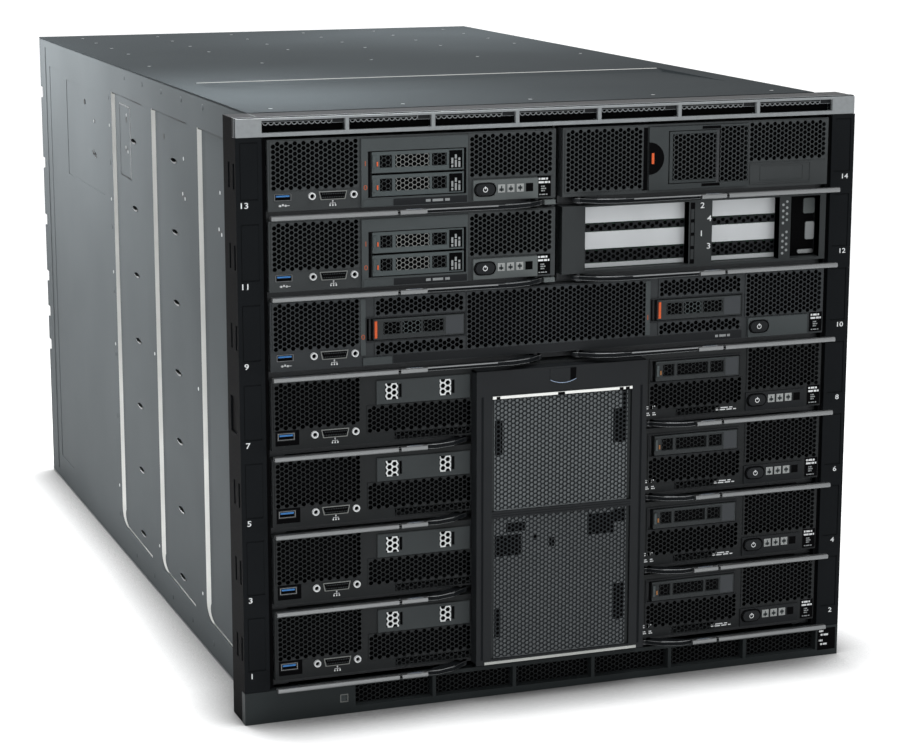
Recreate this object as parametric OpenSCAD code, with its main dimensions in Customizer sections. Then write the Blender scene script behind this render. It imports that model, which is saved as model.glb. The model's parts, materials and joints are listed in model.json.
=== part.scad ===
// Ten-unit blade server chassis: fourteen half-width bays in seven rows, filled with
// half-width and full-width server nodes, with shared power, cooling and switching at the rear.
// X runs left to right across the front, Y runs to the rear, Z is up.
// The drawing modules measure Y from the front plane; in_frame() then puts the origin at the middle
// of the underside of the steel body.

/* [Chassis] */
// Width of the steel body
body_w = 447; // [440:1:460]
// Width over the two front ears, the 19 inch rack width
front_w = 482.6; // [478:0.2:500]
// Height of the chassis
body_h = 440; // [430:1:460]
// Depth from the front frame to the rear edge
body_d = 800; // [790:1:850]
// Thickness of the side and top sheet
sheet = 1.2; // [1:0.1:1.5]
// Thickness of the base plate
base_t = 1.5; // [1.2:0.1:2]
// Height of the vented frame over the bays
top_band = 13.7; // [13:0.1:18]
// Height of the vented frame under the bays
bottom_band = 24; // [22:0.5:28]
// Depth of the vented front frames
band_d = 8; // [6:0.5:12]
// Depth of the plastic ears
ear_d = 31.8; // [28:0.2:34]
// Wall thickness of the plastic ears
ear_t = 2.2; // [1.8:0.1:3]
// Thickness of the steel rack flange
flange_t = 1.5; // [1:0.1:2]
// Depth of the pressed ramps in the sheet
ramp_depth = 2; // [1:0.1:2.2]
// Width of the steep end of each ramp
ramp_slope = 16; // [10:1:20]

/* [Rack holes] */
// Sideways distance between the two columns of rack holes
rack_pitch = 465.1; // [462:0.1:468]
// Height of one rack unit
rack_unit = 44.45; // [44:0.05:45]
// Diameter of a rack hole
rack_hole_d = 7; // [6:0.1:8]

/* [Bays] */
// Number of rows of bays, each two half-width bays wide
rows = 7; // [7:1:7]
// Free height between two stacked nodes
row_gap = 1.55; // [1.4:0.05:2]
// Free width on each outer side of a node
side_gap = 5; // [4.8:0.1:5.6]
// Width of the gap at the middle of a row of half-width nodes
mid_gap = 5.5; // [4:0.1:8]
// Thickness of the shelves and runners
shelf_t = 0.9; // [0.8:0.05:1]
// Depth of a node behind the front plane
node_d = 484; // [470:1:488]
// Width of the runners
runner_w = 14; // [10:1:18]

/* [Nodes] */
// Wall thickness of a node's sheet housing
wall = 1; // [0.8:0.1:1.2]
// Thickness of a node's front plate
face_t = 2; // [1.5:0.1:2.5]
// How far the grille plane stands before the front plane
face_out = 1; // [0.6:0.1:1.6]
// How far the flat plates stand before the grille plane
plate_out = 2; // [1.5:0.1:2.5]
// Height of the lever space under the face
lever_space = 6; // [5.6:0.1:7]
// Depth of the lever space
lever_pocket = 9; // [8:0.5:12]
// Free distance between parts that move past each other
clear = 0.3; // [0.2:0.05:0.4]

/* [Grille] */
// Distance between the middles of neighbouring cells
cell = 8.2; // [7.5:0.1:12]
// Thickness of metal between cells
web = 1.3; // [0.8:0.1:2]

/* [Levers] */
// Height of the lever arm
arm_h = 3.2; // [2.4:0.1:3.4]
// Depth of the lever arm
arm_d = 4; // [3:0.1:5]
// Distance from the front plane to the front of the grip
grip_out = 18; // [14:0.5:22]
// Depth of the round front of the grip
grip_d = 5.5; // [4:0.5:7]
// Length of the latch piece on the lever
latch_len = 20; // [14:1:26]
// Length of the long grip
grip_len = 92; // [70:1:110]
// Radius of the lever's pivot pin
pin_r = 1.8; // [1.4:0.1:2.2]
// Radius of the round end of the lever
eye_r = 5; // [4:0.1:5.5]

/* [Drives] */
// Width of a drive carrier
drive_w = 69; // [66:0.5:71]
// Height of a drive carrier
drive_h = 15; // [13:0.1:15.6]
// Depth of a drive with its carrier
drive_d = 104; // [95:1:115]

/* [Bridge cover] */
// Width of the cover that joins the four lower nodes
bridge_w = 135; // [125:1:137]
// Depth of the cover
bridge_d = 11; // [8:0.5:13]
// Sheet thickness of the cover
bridge_t = 1.5; // [1.2:0.1:2]

/* [Rear modules] */
// Width of the switch bays together
switch_zone = 128; // [124:1:136]
// Height of the row with the small fan and the management module
upper_row_h = 46; // [42:1:50]
// Height of one large fan
fan_h = 84; // [82:1:88]
// Thickness of the rear frame's webs
frame_web = 2; // [1.5:0.1:3]
// Depth of the rear frame
frame_d = 60; // [40:1:90]
// Depth of a power supply
psu_d = 292; // [240:1:300]
// Depth of a large fan module
fan_d = 150; // [120:1:200]
// Height of the handles on the rear modules
pull_out = 18; // [12:1:22]

/* [Hidden] */
$fn = 32;
half_in = body_w / 2 - side_gap; // half width of the space that the nodes fill
node_w = half_in - mid_gap / 2; // width of a half-width node
band_gap = 1.5; // between a vented frame and the row beside it
vent_t = 1; // thickness of the honeycomb strips in the two vented frames
row_pitch = (body_h - top_band - bottom_band - 2 * band_gap) / rows;
row_base = bottom_band + band_gap + 0.3;
node_foot = 0.5; // a node's underside over its row's line
node_top = row_pitch - row_gap + node_foot;
grille_y = -face_out;
plate_y = grille_y - plate_out;
io_w = 68; // width of the left section with the sockets
io_h = 23; // height of the sockets' strip
mid_y = node_d + 2; // front face of the midplane
midplane_t = 3;
rear_y = body_d - 2; // rear face of the seated modules
odd_bays = [1 : 2 : 13];
quad_rows = [1 : 4];
pivot_in = 14; // pivot to the inner end of the lever space
arm_z = node_foot + 1.2; // underside of a lever arm over its row's line
pin_z = node_foot + 0.1; // underside of a pivot pin's head
pivot_y = lever_pocket - eye_r - 2.5;
pin_play = 0.1; // running clearance round a pivot pin
drive_names = ["drive_13_upper", "drive_13_lower", "drive_11_upper", "drive_11_lower",
               "drive_9_left", "drive_9_right", "drive_7", "drive_5", "drive_3", "drive_1"];

charcoal = [0.16, 0.17, 0.18];
plate_grey = [0.32, 0.34, 0.35];
panel_grey = [0.42, 0.44, 0.45];
steel = [0.55, 0.57, 0.58];
silver = [0.78, 0.79, 0.8];
orange = [0.85, 0.35, 0.2];

function row_z(row) = row_base + (row - 1) * row_pitch;

// ---- Drawing helpers -------------------------------------------------------------------

// Extrudes a front outline (x across, y up) into a plate from depth y to y + t.
module front(y, t) {
  translate([0, y + t, 0]) rotate([90, 0, 0]) linear_extrude(t) children();
}

// Extrudes a side outline (x to the rear, y up) along X from x to x + t.
module side(x, t) {
  translate([x, 0, 0]) rotate([90, 0, 90]) linear_extrude(t) children();
}

// A block between two corners.
module block(x0, x1, y0, y1, z0, z1) {
  translate([x0, y0, z0]) cube([x1 - x0, y1 - y0, z1 - z0]);
}

// A flat rectangle between two corners.
module rect(x0, x1, z0, z1) {
  translate([x0, z0]) square([x1 - x0, z1 - z0]);
}

// A slot with round ends.
module stadium(x, z, w, h) {
  translate([x - (w - h) / 2, z]) circle(h / 2);
  translate([x + (w - h) / 2, z]) circle(h / 2);
  translate([x, z]) square([w - h, h], center = true);
}

// Whole hexagonal cells that fit in a rectangle, centred in it.
module comb(x0, x1, z0, z1, pitch = cell, rib = web) {
  step = pitch * sqrt(3) / 2;
  r = (pitch - rib) / sqrt(3);
  nx = floor((x1 - x0 - 2 * r) / step);
  nz = floor((z1 - z0 - pitch + rib) / (pitch / 2));
  for (i = [0 : nx], j = [i % 2 : 2 : nz])
    translate([(x0 + x1 - nx * step) / 2 + i * step, (z0 + z1 - nz * pitch / 2) / 2 + j * pitch / 2])
      circle(r, $fn = 6);
}

// ---- Outer sheet metal -----------------------------------------------------------------

// One side panel, drawn as the left one, with its rack flange bent outwards.
side_ramps = [[476, 121], [326, 120], [176, 130]]; // steep end and length of each pressed ramp
ramp_edge = 25; // from the ramps' ends to the lower and upper edge
tab_rows = [for (r = [1 : rows]) row_z(r) + 12.5];
hook_z = [row_z(2) + 49, row_z(3) + 26, row_z(4) + 5, row_z(5) + 5, row_z(6) + 5, row_z(7) + 18];
weld_z = [for (r = [1 : rows]) row_z(r) + (r == 1 ? 8 : 41.5)];
weld_y = [for (i = [0 : 4]) 157 + 66.3 * i];
rack_units = [1, 4, 6, 8]; // units from the lowest whose middle has a rack hole
bead_out = 0.8; // how far a bead stands out of the sheet
emboss = 0.5; // depth of the shallow recesses in the sheet
module side_panel() {
  x = -body_w / 2;
  z0 = ramp_edge + 1;
  z1 = body_h - ramp_edge;
  flange_y = ear_d + clear;
  difference() {
    union() {
      block(x, x + sheet, flange_y, body_d, base_t + clear, body_h - sheet - clear);
      for (s = side_ramps)
        translate([x, 0, z0 - sheet]) linear_extrude(z1 - z0 + 2 * sheet)
          polygon([[sheet / 2, s[0] + sheet], [sheet, s[0] + sheet], [ramp_depth + sheet, s[0] - ramp_slope],
                   [sheet, s[0] - s[1]], [sheet / 2, s[0] - s[1]]]);
      // bead ribs near the rear edge
      for (b = [[772, 10, body_h - 8], [714, 39, body_h - 35]])
        block(x - bead_out, x + sheet, b[0] - 3, b[0] + 3, b[1], b[2]);
      block(-front_w / 2 + 0.5, x + sheet, flange_y, flange_y + flange_t, 2, body_h - 3);
    }
    for (s = side_ramps)
      translate([x, 0, z0]) linear_extrude(z1 - z0)
        polygon([[-1, s[0]], [0, s[0]], [ramp_depth, s[0] - ramp_slope], [0, s[0] - s[1]], [-1, s[0] - s[1]]]);
    // shallow panel and bead recesses at the rear half
    block(x - 1, x + emboss, 512, 672, z1 - 95, z1 - 6);
    block(x - 1, x + emboss, 694, 752, z0, z1);
    // crescent tabs that carry the runners
    for (y = [256, 396], z = tab_rows)
      side(x - 1, 6) translate([y, z]) intersection() {
        translate([0, -34]) circle(36);
        translate([0, 34]) circle(36);
      }
    // notches for the rear frame's hooks
    for (z = hook_z) block(x - 1, x + sheet + 1, body_d - 12, body_d + 1, z - 5.5, z + 5.5);
    // rack holes in the flange
    for (u = rack_units)
      translate([-rack_pitch / 2, flange_y - 1, (0.5 + u) * rack_unit - (10 * rack_unit - body_h) / 2])
        rotate([-90, 0, 0]) cylinder(d = rack_hole_d, h = flange_t + 2);
  }
  // spot welds and rivets
  for (y = weld_y, z = [12, body_h - 8]) rivet(x, y, z);
  for (z = weld_z) rivet(x, side_ramps[0][0] + 10, z);
}

// A round rivet head on the outside of the left panel.
module rivet(x, y, z) {
  translate([x - 0.6, y, z]) rotate([0, 90, 0]) cylinder(r1 = 1.6, r2 = 2.6, h = 0.7);
}

module side_panel_left() { color(steel) side_panel(); }
module side_panel_right() { color(steel) mirror([1, 0, 0]) side_panel(); }

// Top sheet with one ramp pressed down behind the front edge, and rows of rivets.
module top_cover() {
  x = body_w / 2;
  z = body_h - sheet;
  y0 = ear_d + clear;
  ramp = [269, 133]; // steep end and length of the pressed ramp
  rx = x - 22;
  rivet_step = 75;
  color(steel) difference() {
    union() {
      block(-x, x, y0, body_d, z, body_h);
      side(-rx - sheet, 2 * (rx + sheet))
        polygon([[ramp[0] + sheet, z + sheet / 2], [ramp[0] + sheet, z], [ramp[0] - ramp_slope, z - ramp_depth],
                 [ramp[0] - ramp[1], z], [ramp[0] - ramp[1], z + sheet / 2]]);
    }
    side(-rx, 2 * rx)
      polygon([[ramp[0], body_h + 1], [ramp[0], body_h], [ramp[0] - ramp_slope, body_h - ramp_depth],
               [ramp[0] - ramp[1], body_h], [ramp[0] - ramp[1], body_h + 1]]);
    for (i = [-2.5 : 2.5], py = [564, 634, 703, 764]) dimple(i * rivet_step, py);
    for (i = [-2 : 2], py = [56, 431]) dimple(i * (rx - 2) / 2, py);
  }
}

// A small dimple of a sunk rivet in the top sheet.
module dimple(x, y) { translate([x, y, body_h - 0.4]) cylinder(r1 = 1.5, r2 = 2.2, h = 1); }

// Base plate with folded side edges.
fold_h = 14;
module base_plate() {
  x = body_w / 2;
  color(steel) {
    block(-x, x, band_d + clear, body_d, 0, base_t);
    for (s = [-1, 1])
      translate([s * (x - sheet - clear - wall / 2), 0, 0])
        block(-wall / 2, wall / 2, band_d + vent_t + clear, body_d - frame_d - clear, 0, fold_h);
  }
}

// ---- Front frame -----------------------------------------------------------------------

vent_pitch = 64; // from one opening in the vented frames to the next
vent_bars = [for (i = [-2 : 3]) (i - 0.5) * vent_pitch];

// The light frame over the bays: seven openings, with a honeycomb strip behind their upper half.
module top_bezel() {
  z0 = body_h - top_band;
  z1 = z0 + 2.9;
  z2 = body_h - 3.3;
  xo = front_w / 2;
  xi = body_w / 2 - 1.5;
  color([0.66, 0.67, 0.67]) front(0, band_d) difference() {
    rect(-xo, xo, z0, body_h);
    rect(-xi, xi, z1, z2);
  }
  color([0.66, 0.67, 0.67]) for (b = vent_bars) block(b - 1.25, b + 1.25, 0, 4, z1 - 0.1, z2 + 0.1);
  color(charcoal) front(band_d - 0.1, vent_t) difference() {
    rect(-xi - 1, xi + 1, z1 - 1, z2 + 1);
    comb(-xi, xi, z1, z2 + 0.6, 7.4, 1);
  }
  // cap over the gap between the bezel and the top sheet, beside the ears' caps
  color(charcoal) block(-body_w / 2, body_w / 2, band_d - 0.1, ear_d, body_h - 0.3 - ear_t, body_h - 0.3);
}

// The dark frame under the bays: a plain panel with an indicator at the left, then vents.
indicator_x = 166;
module bottom_bezel() {
  xo = front_w / 2;
  left = -157.5;
  right = body_w / 2 - 1.5;
  z1 = 5.2;
  z2 = bottom_band - 3;
  color(charcoal) front(0, band_d) difference() {
    rect(-xo, xo, 0, bottom_band);
    rect(left, right, z1, z2);
    translate([-indicator_x, bottom_band / 2]) square(6.4, center = true);
  }
  color(charcoal) for (b = vent_bars) if (b > left && b < right)
    block(b - 1.25, b + 1.25, 0.5, 5, z1 - 0.1, z2 + 0.1);
  color(charcoal) front(band_d - 0.1, vent_t) difference() {
    rect(left - 1, right + 1, z1 - 1, z2 + 1);
    comb(left, right, z1, z2, 14.5, 2);
  }
  color(silver) front(1, 4) translate([-indicator_x, bottom_band / 2]) square(6, center = true);
}

// One plastic ear, drawn as the left one: a front wall with a shallow field for each row, a side
// wall with a pair of slots for each row, and short walls behind the two vented frames.
ear_in = body_w / 2 - 1.2;
module ear() {
  xo = -front_w / 2;
  z0 = bottom_band + clear;
  z1 = body_h - top_band - clear;
  color(charcoal) difference() {
    union() {
      block(xo, -ear_in, 0, ear_t, z0, z1);
      block(xo, xo + ear_t, 0, ear_d, z0, z1);
      block(xo, xo + ear_t, band_d + clear, ear_d, 0.5, body_h - 0.3);
      block(-ear_in - ear_t, -ear_in, 0, ear_d, z0, z1);
      for (z = [0.5, body_h - 0.3 - ear_t]) block(xo, -body_w / 2 - clear, band_d + clear, ear_d, z, z + ear_t);
    }
    for (r = [1 : rows]) {
      block(xo + 3, -ear_in - 3, -1, 0.7, row_z(r) + 14.5, row_z(r) + row_pitch - 2);
      if (r != 4) for (y = [5.2, 17.7])
        block(xo - 1, xo + ear_t + 1, y - 2, y + 2, row_z(r) + 22, row_z(r) + 40);
    }
    block(xo - 1, xo + 1.2, 8, 24, row_z(4) + 18, row_z(4) + 44);
  }
}
module ear_left() { ear(); }
module ear_right() { mirror([1, 0, 0]) ear(); }

// ---- Inside of the bays ----------------------------------------------------------------

shelf_y0 = band_d + 2;
shelf_y1 = node_d - 4;
shelf_x = body_w / 2 - sheet - ramp_depth - clear;

// Shelves, guides and centre walls of the two rows of half-width bays, and the air duct's floor over
// them. Each is a plate of its own, riveted to the side panels.
plate_gap = 0.25; // between riveted plates
guide_h = 8; // height of the side guides
module bay_shelves() {
  duct_z = row_z(rows) + node_top + clear + shelf_t; // underside of the air duct's floor
  color(charcoal) {
    for (r = [6, 7]) {
      shelf_z = row_z(r) + node_foot - clear;
      block(-shelf_x, shelf_x, shelf_y0, shelf_y1, shelf_z - shelf_t, shelf_z);
      for (s = [0, 1]) mirror([s, 0, 0])
        block(shelf_x - shelf_t, shelf_x, shelf_y0, shelf_y1, shelf_z + plate_gap, shelf_z + guide_h);
      wall_top = r == rows ? duct_z : shelf_z + row_pitch - shelf_t;
      block(-1, 1, shelf_y0, shelf_y1, shelf_z + plate_gap, wall_top - plate_gap);
    }
    block(-shelf_x, shelf_x, shelf_y0, shelf_y1, duct_z, duct_z + shelf_t);
  }
}

// L-shaped runners that carry the full-width nodes.
module side_runners() {
  color(steel) for (r = [1 : 5], s = [0, 1]) mirror([s, 0, 0])
    front(shelf_y0, shelf_y1 - shelf_y0) translate([-shelf_x, row_z(r) + node_foot - clear]) {
      rect(0, runner_w, -shelf_t, 0);
      rect(0, shelf_t, -shelf_t, guide_h);
    }
}

// Circuit board across the chassis, with air openings and a pair of sockets for each bay.
module midplane() {
  x = body_w / 2 - sheet - clear;
  z0 = row_z(1);
  z1 = row_z(rows) + row_pitch;
  air_w = 55; // width of an air opening
  air_step = 75; // from one air opening to the next
  color([0.1, 0.25, 0.16]) front(mid_y, midplane_t) difference() {
    rect(-x, x, z0, z1);
    for (r = [1 : rows], s = [0, 1], k = [0, 1]) mirror([s, 0, 0])
      translate([half_in - 18.5 - air_w - k * air_step, row_z(r) + 26]) square([air_w, 22]);
  }
  color(charcoal) for (r = [1 : rows], s = [0, 1]) mirror([s, 0, 0])
    block(8, 62, mid_y + midplane_t - 0.1, mid_y + midplane_t + 2.5, row_z(r) + 8, row_z(r) + 22);
}

// ---- Rear ------------------------------------------------------------------------------

rear_x = body_w / 2 - sheet - clear; // half width inside the side panels
rear_z0 = base_t + clear;
rear_z1 = body_h - sheet - ramp_depth - clear;
switch_n = 4;
switch_w = (switch_zone - frame_web) / switch_n - frame_web;
col_x0 = switch_zone / 2 + frame_web / 2; // side columns begin here
col_x1 = rear_x - frame_web;
upper_z0 = rear_z1 - frame_web - upper_row_h;
fans_z0 = upper_z0 - 2 * (fan_h + frame_web);
psu_h = (fans_z0 - rear_z0 - 4 * frame_web) / 3;
half_col = (col_x1 - col_x0 - frame_web) / 2; // width of a large fan's cell
module_wall = 1.2; // sheet thickness of a rear module
function psu_z(i) = rear_z0 + frame_web + i * (psu_h + frame_web);
function fan_x(k) = col_x0 + k * (half_col + frame_web);
function fan_z(i) = fans_z0 + i * (fan_h + frame_web);
function switch_x(i) = -switch_zone / 2 + frame_web + i * (switch_w + frame_web);

// Frame with a cell for every module that slides in from the rear.
module rear_frame() {
  color(steel) front(body_d - frame_d, frame_d) difference() {
    rect(-rear_x, rear_x, rear_z0, rear_z1);
    for (i = [0 : switch_n - 1]) translate([switch_x(i), rear_z0 + frame_web])
      square([switch_w, rear_z1 - rear_z0 - 2 * frame_web]);
    for (s = [0, 1]) mirror([s, 0, 0]) {
      for (i = [0 : 2]) rect(col_x0, col_x1, psu_z(i), psu_z(i) + psu_h);
      for (i = [0, 1], k = [0, 1]) translate([fan_x(k), fan_z(i)]) square([half_col, fan_h]);
      rect(col_x0, col_x0 + upper_row_h, upper_z0, upper_z0 + upper_row_h);
      rect(col_x0 + upper_row_h + frame_web, col_x1, upper_z0, upper_z0 + upper_row_h);
    }
  }
}

// Hollow housing of a rear module, open at its inner end where its connector is.
module rear_housing(x0, x1, depth, z0, z1) {
  t = module_wall;
  difference() {
    block(x0, x1, rear_y - depth, rear_y, z0, z1);
    block(x0 + t, x1 - t, rear_y - depth - 1, rear_y - 24, z0 + t, z1 - t);
  }
}

// A bent wire or strip handle on a module's rear face, standing upright.
module pull(x, z, h) {
  r = 2;
  translate([x, rear_y - 0.1, z]) rotate([90, 0, 90]) translate([0, 0, -2.5]) linear_extrude(5) difference() {
    translate([0, -h / 2]) square([pull_out, h]);
    translate([-1, -h / 2 + 2 * r]) square([pull_out - r, h - 4 * r]);
  }
}

// A fan: a square housing with a round duct, a hub on three struts and blades.
module fan(x, z, w, h, depth, blades) {
  d = min(w, h) - 6;
  hub = d * 0.2;
  difference() {
    block(x - w / 2, x + w / 2, rear_y - depth, rear_y, z - h / 2, z + h / 2);
    translate([x, rear_y - depth - 1, z]) rotate([-90, 0, 0]) cylinder(d = d, h = depth + 5);
  }
  translate([x, rear_y - 30, z]) rotate([-90, 0, 0]) {
    cylinder(r = hub, h = 29);
    for (b = [0 : blades - 1]) rotate([0, 0, b * 360 / blades]) translate([hub - 1, 0, 0])
      rotate([32, 0, 0]) translate([0, -0.8, 2]) cube([d / 2 - hub - 1, 1.6, 14]);
  }
  for (a = [0 : 2]) translate([x, rear_y - 2, z]) rotate([0, a * 120 + 90, 0])
    block(-2, 2, -2, 1, 0, d / 2 + 1);
}

small_fan_d = 90; // depth of a small fan module
module fan_modules() {
  small = upper_row_h - 2 * clear;
  w = half_col - 2 * clear;
  h = fan_h - 2 * clear;
  color(charcoal) for (s = [-1, 1]) {
    for (i = [0, 1], k = [0, 1])
      fan(s * (fan_x(k) + half_col / 2), fan_z(i) + fan_h / 2, w, h, fan_d, 7);
    fan(s * (col_x0 + upper_row_h / 2), upper_z0 + upper_row_h / 2, small, small, small_fan_d, 5);
  }
}

// Power supplies with an inlet, an exhaust grille and a handle.
module power_supplies() {
  w = col_x1 - col_x0 - 2 * clear;
  h = psu_h - 2 * clear;
  color(steel) for (s = [-1, 1], i = [0 : 2]) {
    x = s * (col_x0 + col_x1) / 2;
    z = psu_z(i) + psu_h / 2;
    difference() {
      rear_housing(x - w / 2, x + w / 2, psu_d, z - h / 2, z + h / 2);
      front(rear_y - 6, 10) comb(x - w / 2 + 6, x + w / 2 - 58, z - h / 2 + 4, z + h / 2 - 4, 12, 2);
      front(rear_y - 22, 30) translate([x + w / 2 - 36, z]) square([30, 22], center = true);
    }
    front(rear_y - 22.1, 18) for (k = [-1, 0, 1])
      translate([x + w / 2 - 36 + 8 * k, z + 2 * (1 - abs(k))]) square([2, 6], center = true);
    pull(x + w / 2 - 12, z, h - 8);
  }
}

// Four upright switch modules with stacked ports and a lever at each end.
module switch_modules() {
  w = switch_w - 2 * clear;
  z0 = rear_z0 + frame_web + clear;
  z1 = rear_z1 - frame_web - clear;
  y0 = mid_y + midplane_t + 3;
  color(steel) for (i = [0 : switch_n - 1]) {
    x = switch_x(i) + clear;
    difference() {
      rear_housing(x, x + w, rear_y - y0, z0, z1);
      for (k = [0 : 15]) block(x + 5, x + w - 5, rear_y - 1, rear_y + 1, z0 + 40 + 20 * k, z0 + 54 + 20 * k);
    }
    // flat cam levers, closed
    for (z = [z0 + 3, z1 - 31]) block(x + w / 2 - 5, x + w / 2 + 5, rear_y - 0.1, rear_y + 5, z, z + 28);
  }
}

// Two management modules beside the small fans.
management_d = 200; // depth of a management module
module management_modules() {
  x0 = col_x0 + upper_row_h + frame_web + clear;
  x1 = col_x1 - clear;
  z0 = upper_z0 + clear;
  z1 = upper_z0 + upper_row_h - clear;
  color(steel) for (s = [0, 1]) mirror([s, 0, 0]) {
    difference() {
      rear_housing(x0, x1, management_d, z0, z1);
      for (port = [12, 32]) block(x0 + port, x0 + port + 14, rear_y - 1, rear_y + 1, z0 + 8, z0 + 20);
      front(rear_y - 5, 10) comb(x0 + 52, x1 - 16, z0 + 6, z1 - 6, 9, 1.6);
    }
    pull(x1 - 8, (z0 + z1) / 2, 34);
  }
}

// ---- Server nodes ----------------------------------------------------------------------

// Sheet housing of a node: open at the front, notched below for the levers, with a pivot pin
// under each lever eye.
module housing(x0, x1, pivots) {
  y0 = grille_y + face_t + 0.2;
  color(steel) {
    difference() {
      union() {
        block(x0, x1, lever_pocket, node_d, node_foot, node_top);
        block(x0, x1, y0, lever_pocket + wall, lever_space, node_top);
      }
      block(x0 + wall, x1 - wall, lever_pocket + wall, node_d - wall, node_foot + wall, node_top - wall);
      block(x0 + wall, x1 - wall, y0 - 1, lever_pocket + 2 * wall, lever_space + wall, node_top - wall);
    }
    for (p = pivots) translate([p, pivot_y, pin_z]) {
      cylinder(r = pin_r, h = lever_space - pin_z + wall / 2);
      cylinder(r = pin_r + 1.4, h = arm_z - clear - pin_z);
    }
  }
}

// System board with two finned heat sinks, on the floor of a housing.
board_y = 140; // front edge of a system board
sink_w = 90; // width and depth of a heat sink
sink_step = 130; // from one heat sink to the next
module board(x0, x1) {
  floor_z = node_foot + wall;
  mid = (x0 + x1) / 2;
  color([0.1, 0.28, 0.18]) block(x0 + 8, x1 - 8, board_y, node_d - 20, floor_z - 0.1, floor_z + 3);
  color(silver) for (k = [0, 1]) translate([mid - sink_w / 2, board_y + 50 + sink_step * k, floor_z + 2.9]) {
    cube([sink_w, sink_w, 5]);
    for (x = [0 : sink_w / 8 : sink_w - 1]) translate([x, 0, 0]) cube([1.2, sink_w, node_top - floor_z - 11]);
  }
}

// The left part of a node's face: honeycomb over a strip with a small and a wide socket.
module io_cuts(x0) {
  comb(x0 + 2.5, x0 + io_w - 3, io_h, node_top - 1.5);
  rect(x0 + 4.5, x0 + 16.7, 13.4, 18.2);
  translate([x0 + 47, 15.8]) polygon([[-10.6, 3], [10.6, 3], [9.2, -3], [-9.2, -3]]);
}
module io_parts(x0) {
  color(charcoal) front(grille_y + 0.6, 1.4) translate([x0 + 47, 15.8])
    polygon([[-10.7, 3.1], [10.7, 3.1], [9.3, -3.1], [-9.3, -3.1]]);
  color("steelblue") block(x0 + 5.5, x0 + 15.7, grille_y + 0.4, grille_y + face_t + 4, 16.2, 18.3);
  screw_out = 3.5;
  color(silver) for (s = [-1, 1]) front(grille_y - screw_out, screw_out)
    translate([x0 + 47 + s * 15.3, 15.8]) difference() {
      circle(2.4);
      circle(1.4);
    }
}

// Cage walls round drive openings, behind the face.
cage_gap = 0.6; // round a drive carrier
module cage(x, z, n) {
  difference() {
    block(x - 2, x + drive_w + 2, grille_y + face_t - 0.1, drive_d - 10, z - 2, z + n * (drive_h + 2));
    for (i = [0 : n - 1]) translate([0, 0, z + i * (drive_h + 1.6)])
      block(x - cage_gap, x + drive_w + cage_gap, grille_y, drive_d - 2, -cage_gap, drive_h + cage_gap);
  }
}

drive_x = 75.5; // drive carrier to the left end of a half-width node
drive_z = [13.4, 30];
panel_w = 50; // width of the panel with the power button
panel_x = half_in - 64; // its left end on a full-width node
panel_z = 21.5; // its upper edge
function button_at(x0) = [x0 + 9, 14.6];

module button_hole(x0) { stadium(button_at(x0)[0], button_at(x0)[1], 14 + 2 * clear, 8 + 2 * clear); }

// The plain panel round a power button, standing out from the grille plane.
module panel(x, out, z) {
  color(panel_grey) front(grille_y - out, out) rect(x, x + panel_w, lever_space + 0.6, z);
}

// Half-width server node: sockets, a drive cage and a grille over the power panel.
half_panel_x = 151.5;
module half_node(row) {
  x0 = -half_in;
  x1 = x0 + node_w;
  plate0 = x0 + io_w - 0.5;
  plate1 = plate0 + 80;
  translate([0, 0, row_z(row)]) {
    housing(x0, x1, [x1 - pivot_in]);
    board(x0, x1);
    difference() {
      union() {
        color(charcoal) front(grille_y, face_t) difference() {
          rect(x0, x1, lever_space, node_top);
          io_cuts(x0);
          comb(plate1 + 1, x1 - 2, io_h + 2, node_top - 1.5);
        }
        color(plate_grey) front(plate_y, plate_out) rect(plate0, plate1, lever_space, node_top - 1.5);
        panel(x0 + half_panel_x, plate_out, panel_z);
        cage(x0 + drive_x, drive_z[0], 2);
      }
      front(plate_y - 1, plate_out + face_t + 2) {
        rect(x0 + drive_x - 3, x0 + drive_x + drive_w + 1.6, drive_z[0] - 0.6, drive_z[1] + drive_h + 0.6);
        button_hole(x0 + half_panel_x);
      }
    }
    io_parts(x0);
  }
}
module half_node_13() { half_node(7); }
module half_node_11() { half_node(6); }

// Hot-swap drive carrier: light frame, grilled window, latch tab and the drive behind it.
module drive(place) {
  y = plate_y + 0.5;
  translate([place[0], 0, row_z(place[2]) + place[1]]) {
    color(plate_grey) front(y, 7) difference() {
      rect(0, drive_w, 0, drive_h);
      rect(3.5, drive_w - 14, 3.6, drive_h - 2.6);
    }
    color(charcoal) front(y + 2, 4.9) difference() {
      rect(3.4, drive_w - 13.9, 3.5, drive_h - 2.5);
      comb(6, drive_w - 16, 3.6, drive_h - 2.6, 4.9, 0.9);
    }
    color(orange) block(0.4, 2.6, y - 1, y + 0.1, 4, drive_h - 3);
    color(steel) block(0, drive_w, y + 6.9, y + drive_d, 0.2, drive_h - 0.2);
  }
}
wide_drive_x = [-half_in + 76, half_in - 139];
wide_drive_z = 24.5;
quad_drive_x = half_in - 139.5;
quad_drive_z = node_top - drive_h - 6;
function drive_place(name) =
  name == "drive_13_upper" ? [-half_in + drive_x, drive_z[1], 7] :
  name == "drive_13_lower" ? [-half_in + drive_x, drive_z[0], 7] :
  name == "drive_11_upper" ? [-half_in + drive_x, drive_z[1], 6] :
  name == "drive_11_lower" ? [-half_in + drive_x, drive_z[0], 6] :
  name == "drive_9_left" ? [wide_drive_x[0], wide_drive_z, 5] :
  name == "drive_9_right" ? [wide_drive_x[1], wide_drive_z, 5] :
  name == "drive_7" ? [quad_drive_x, quad_drive_z, 4] :
  name == "drive_5" ? [quad_drive_x, quad_drive_z, 3] :
  name == "drive_3" ? [quad_drive_x, quad_drive_z, 2] : [quad_drive_x, quad_drive_z, 1];

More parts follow.
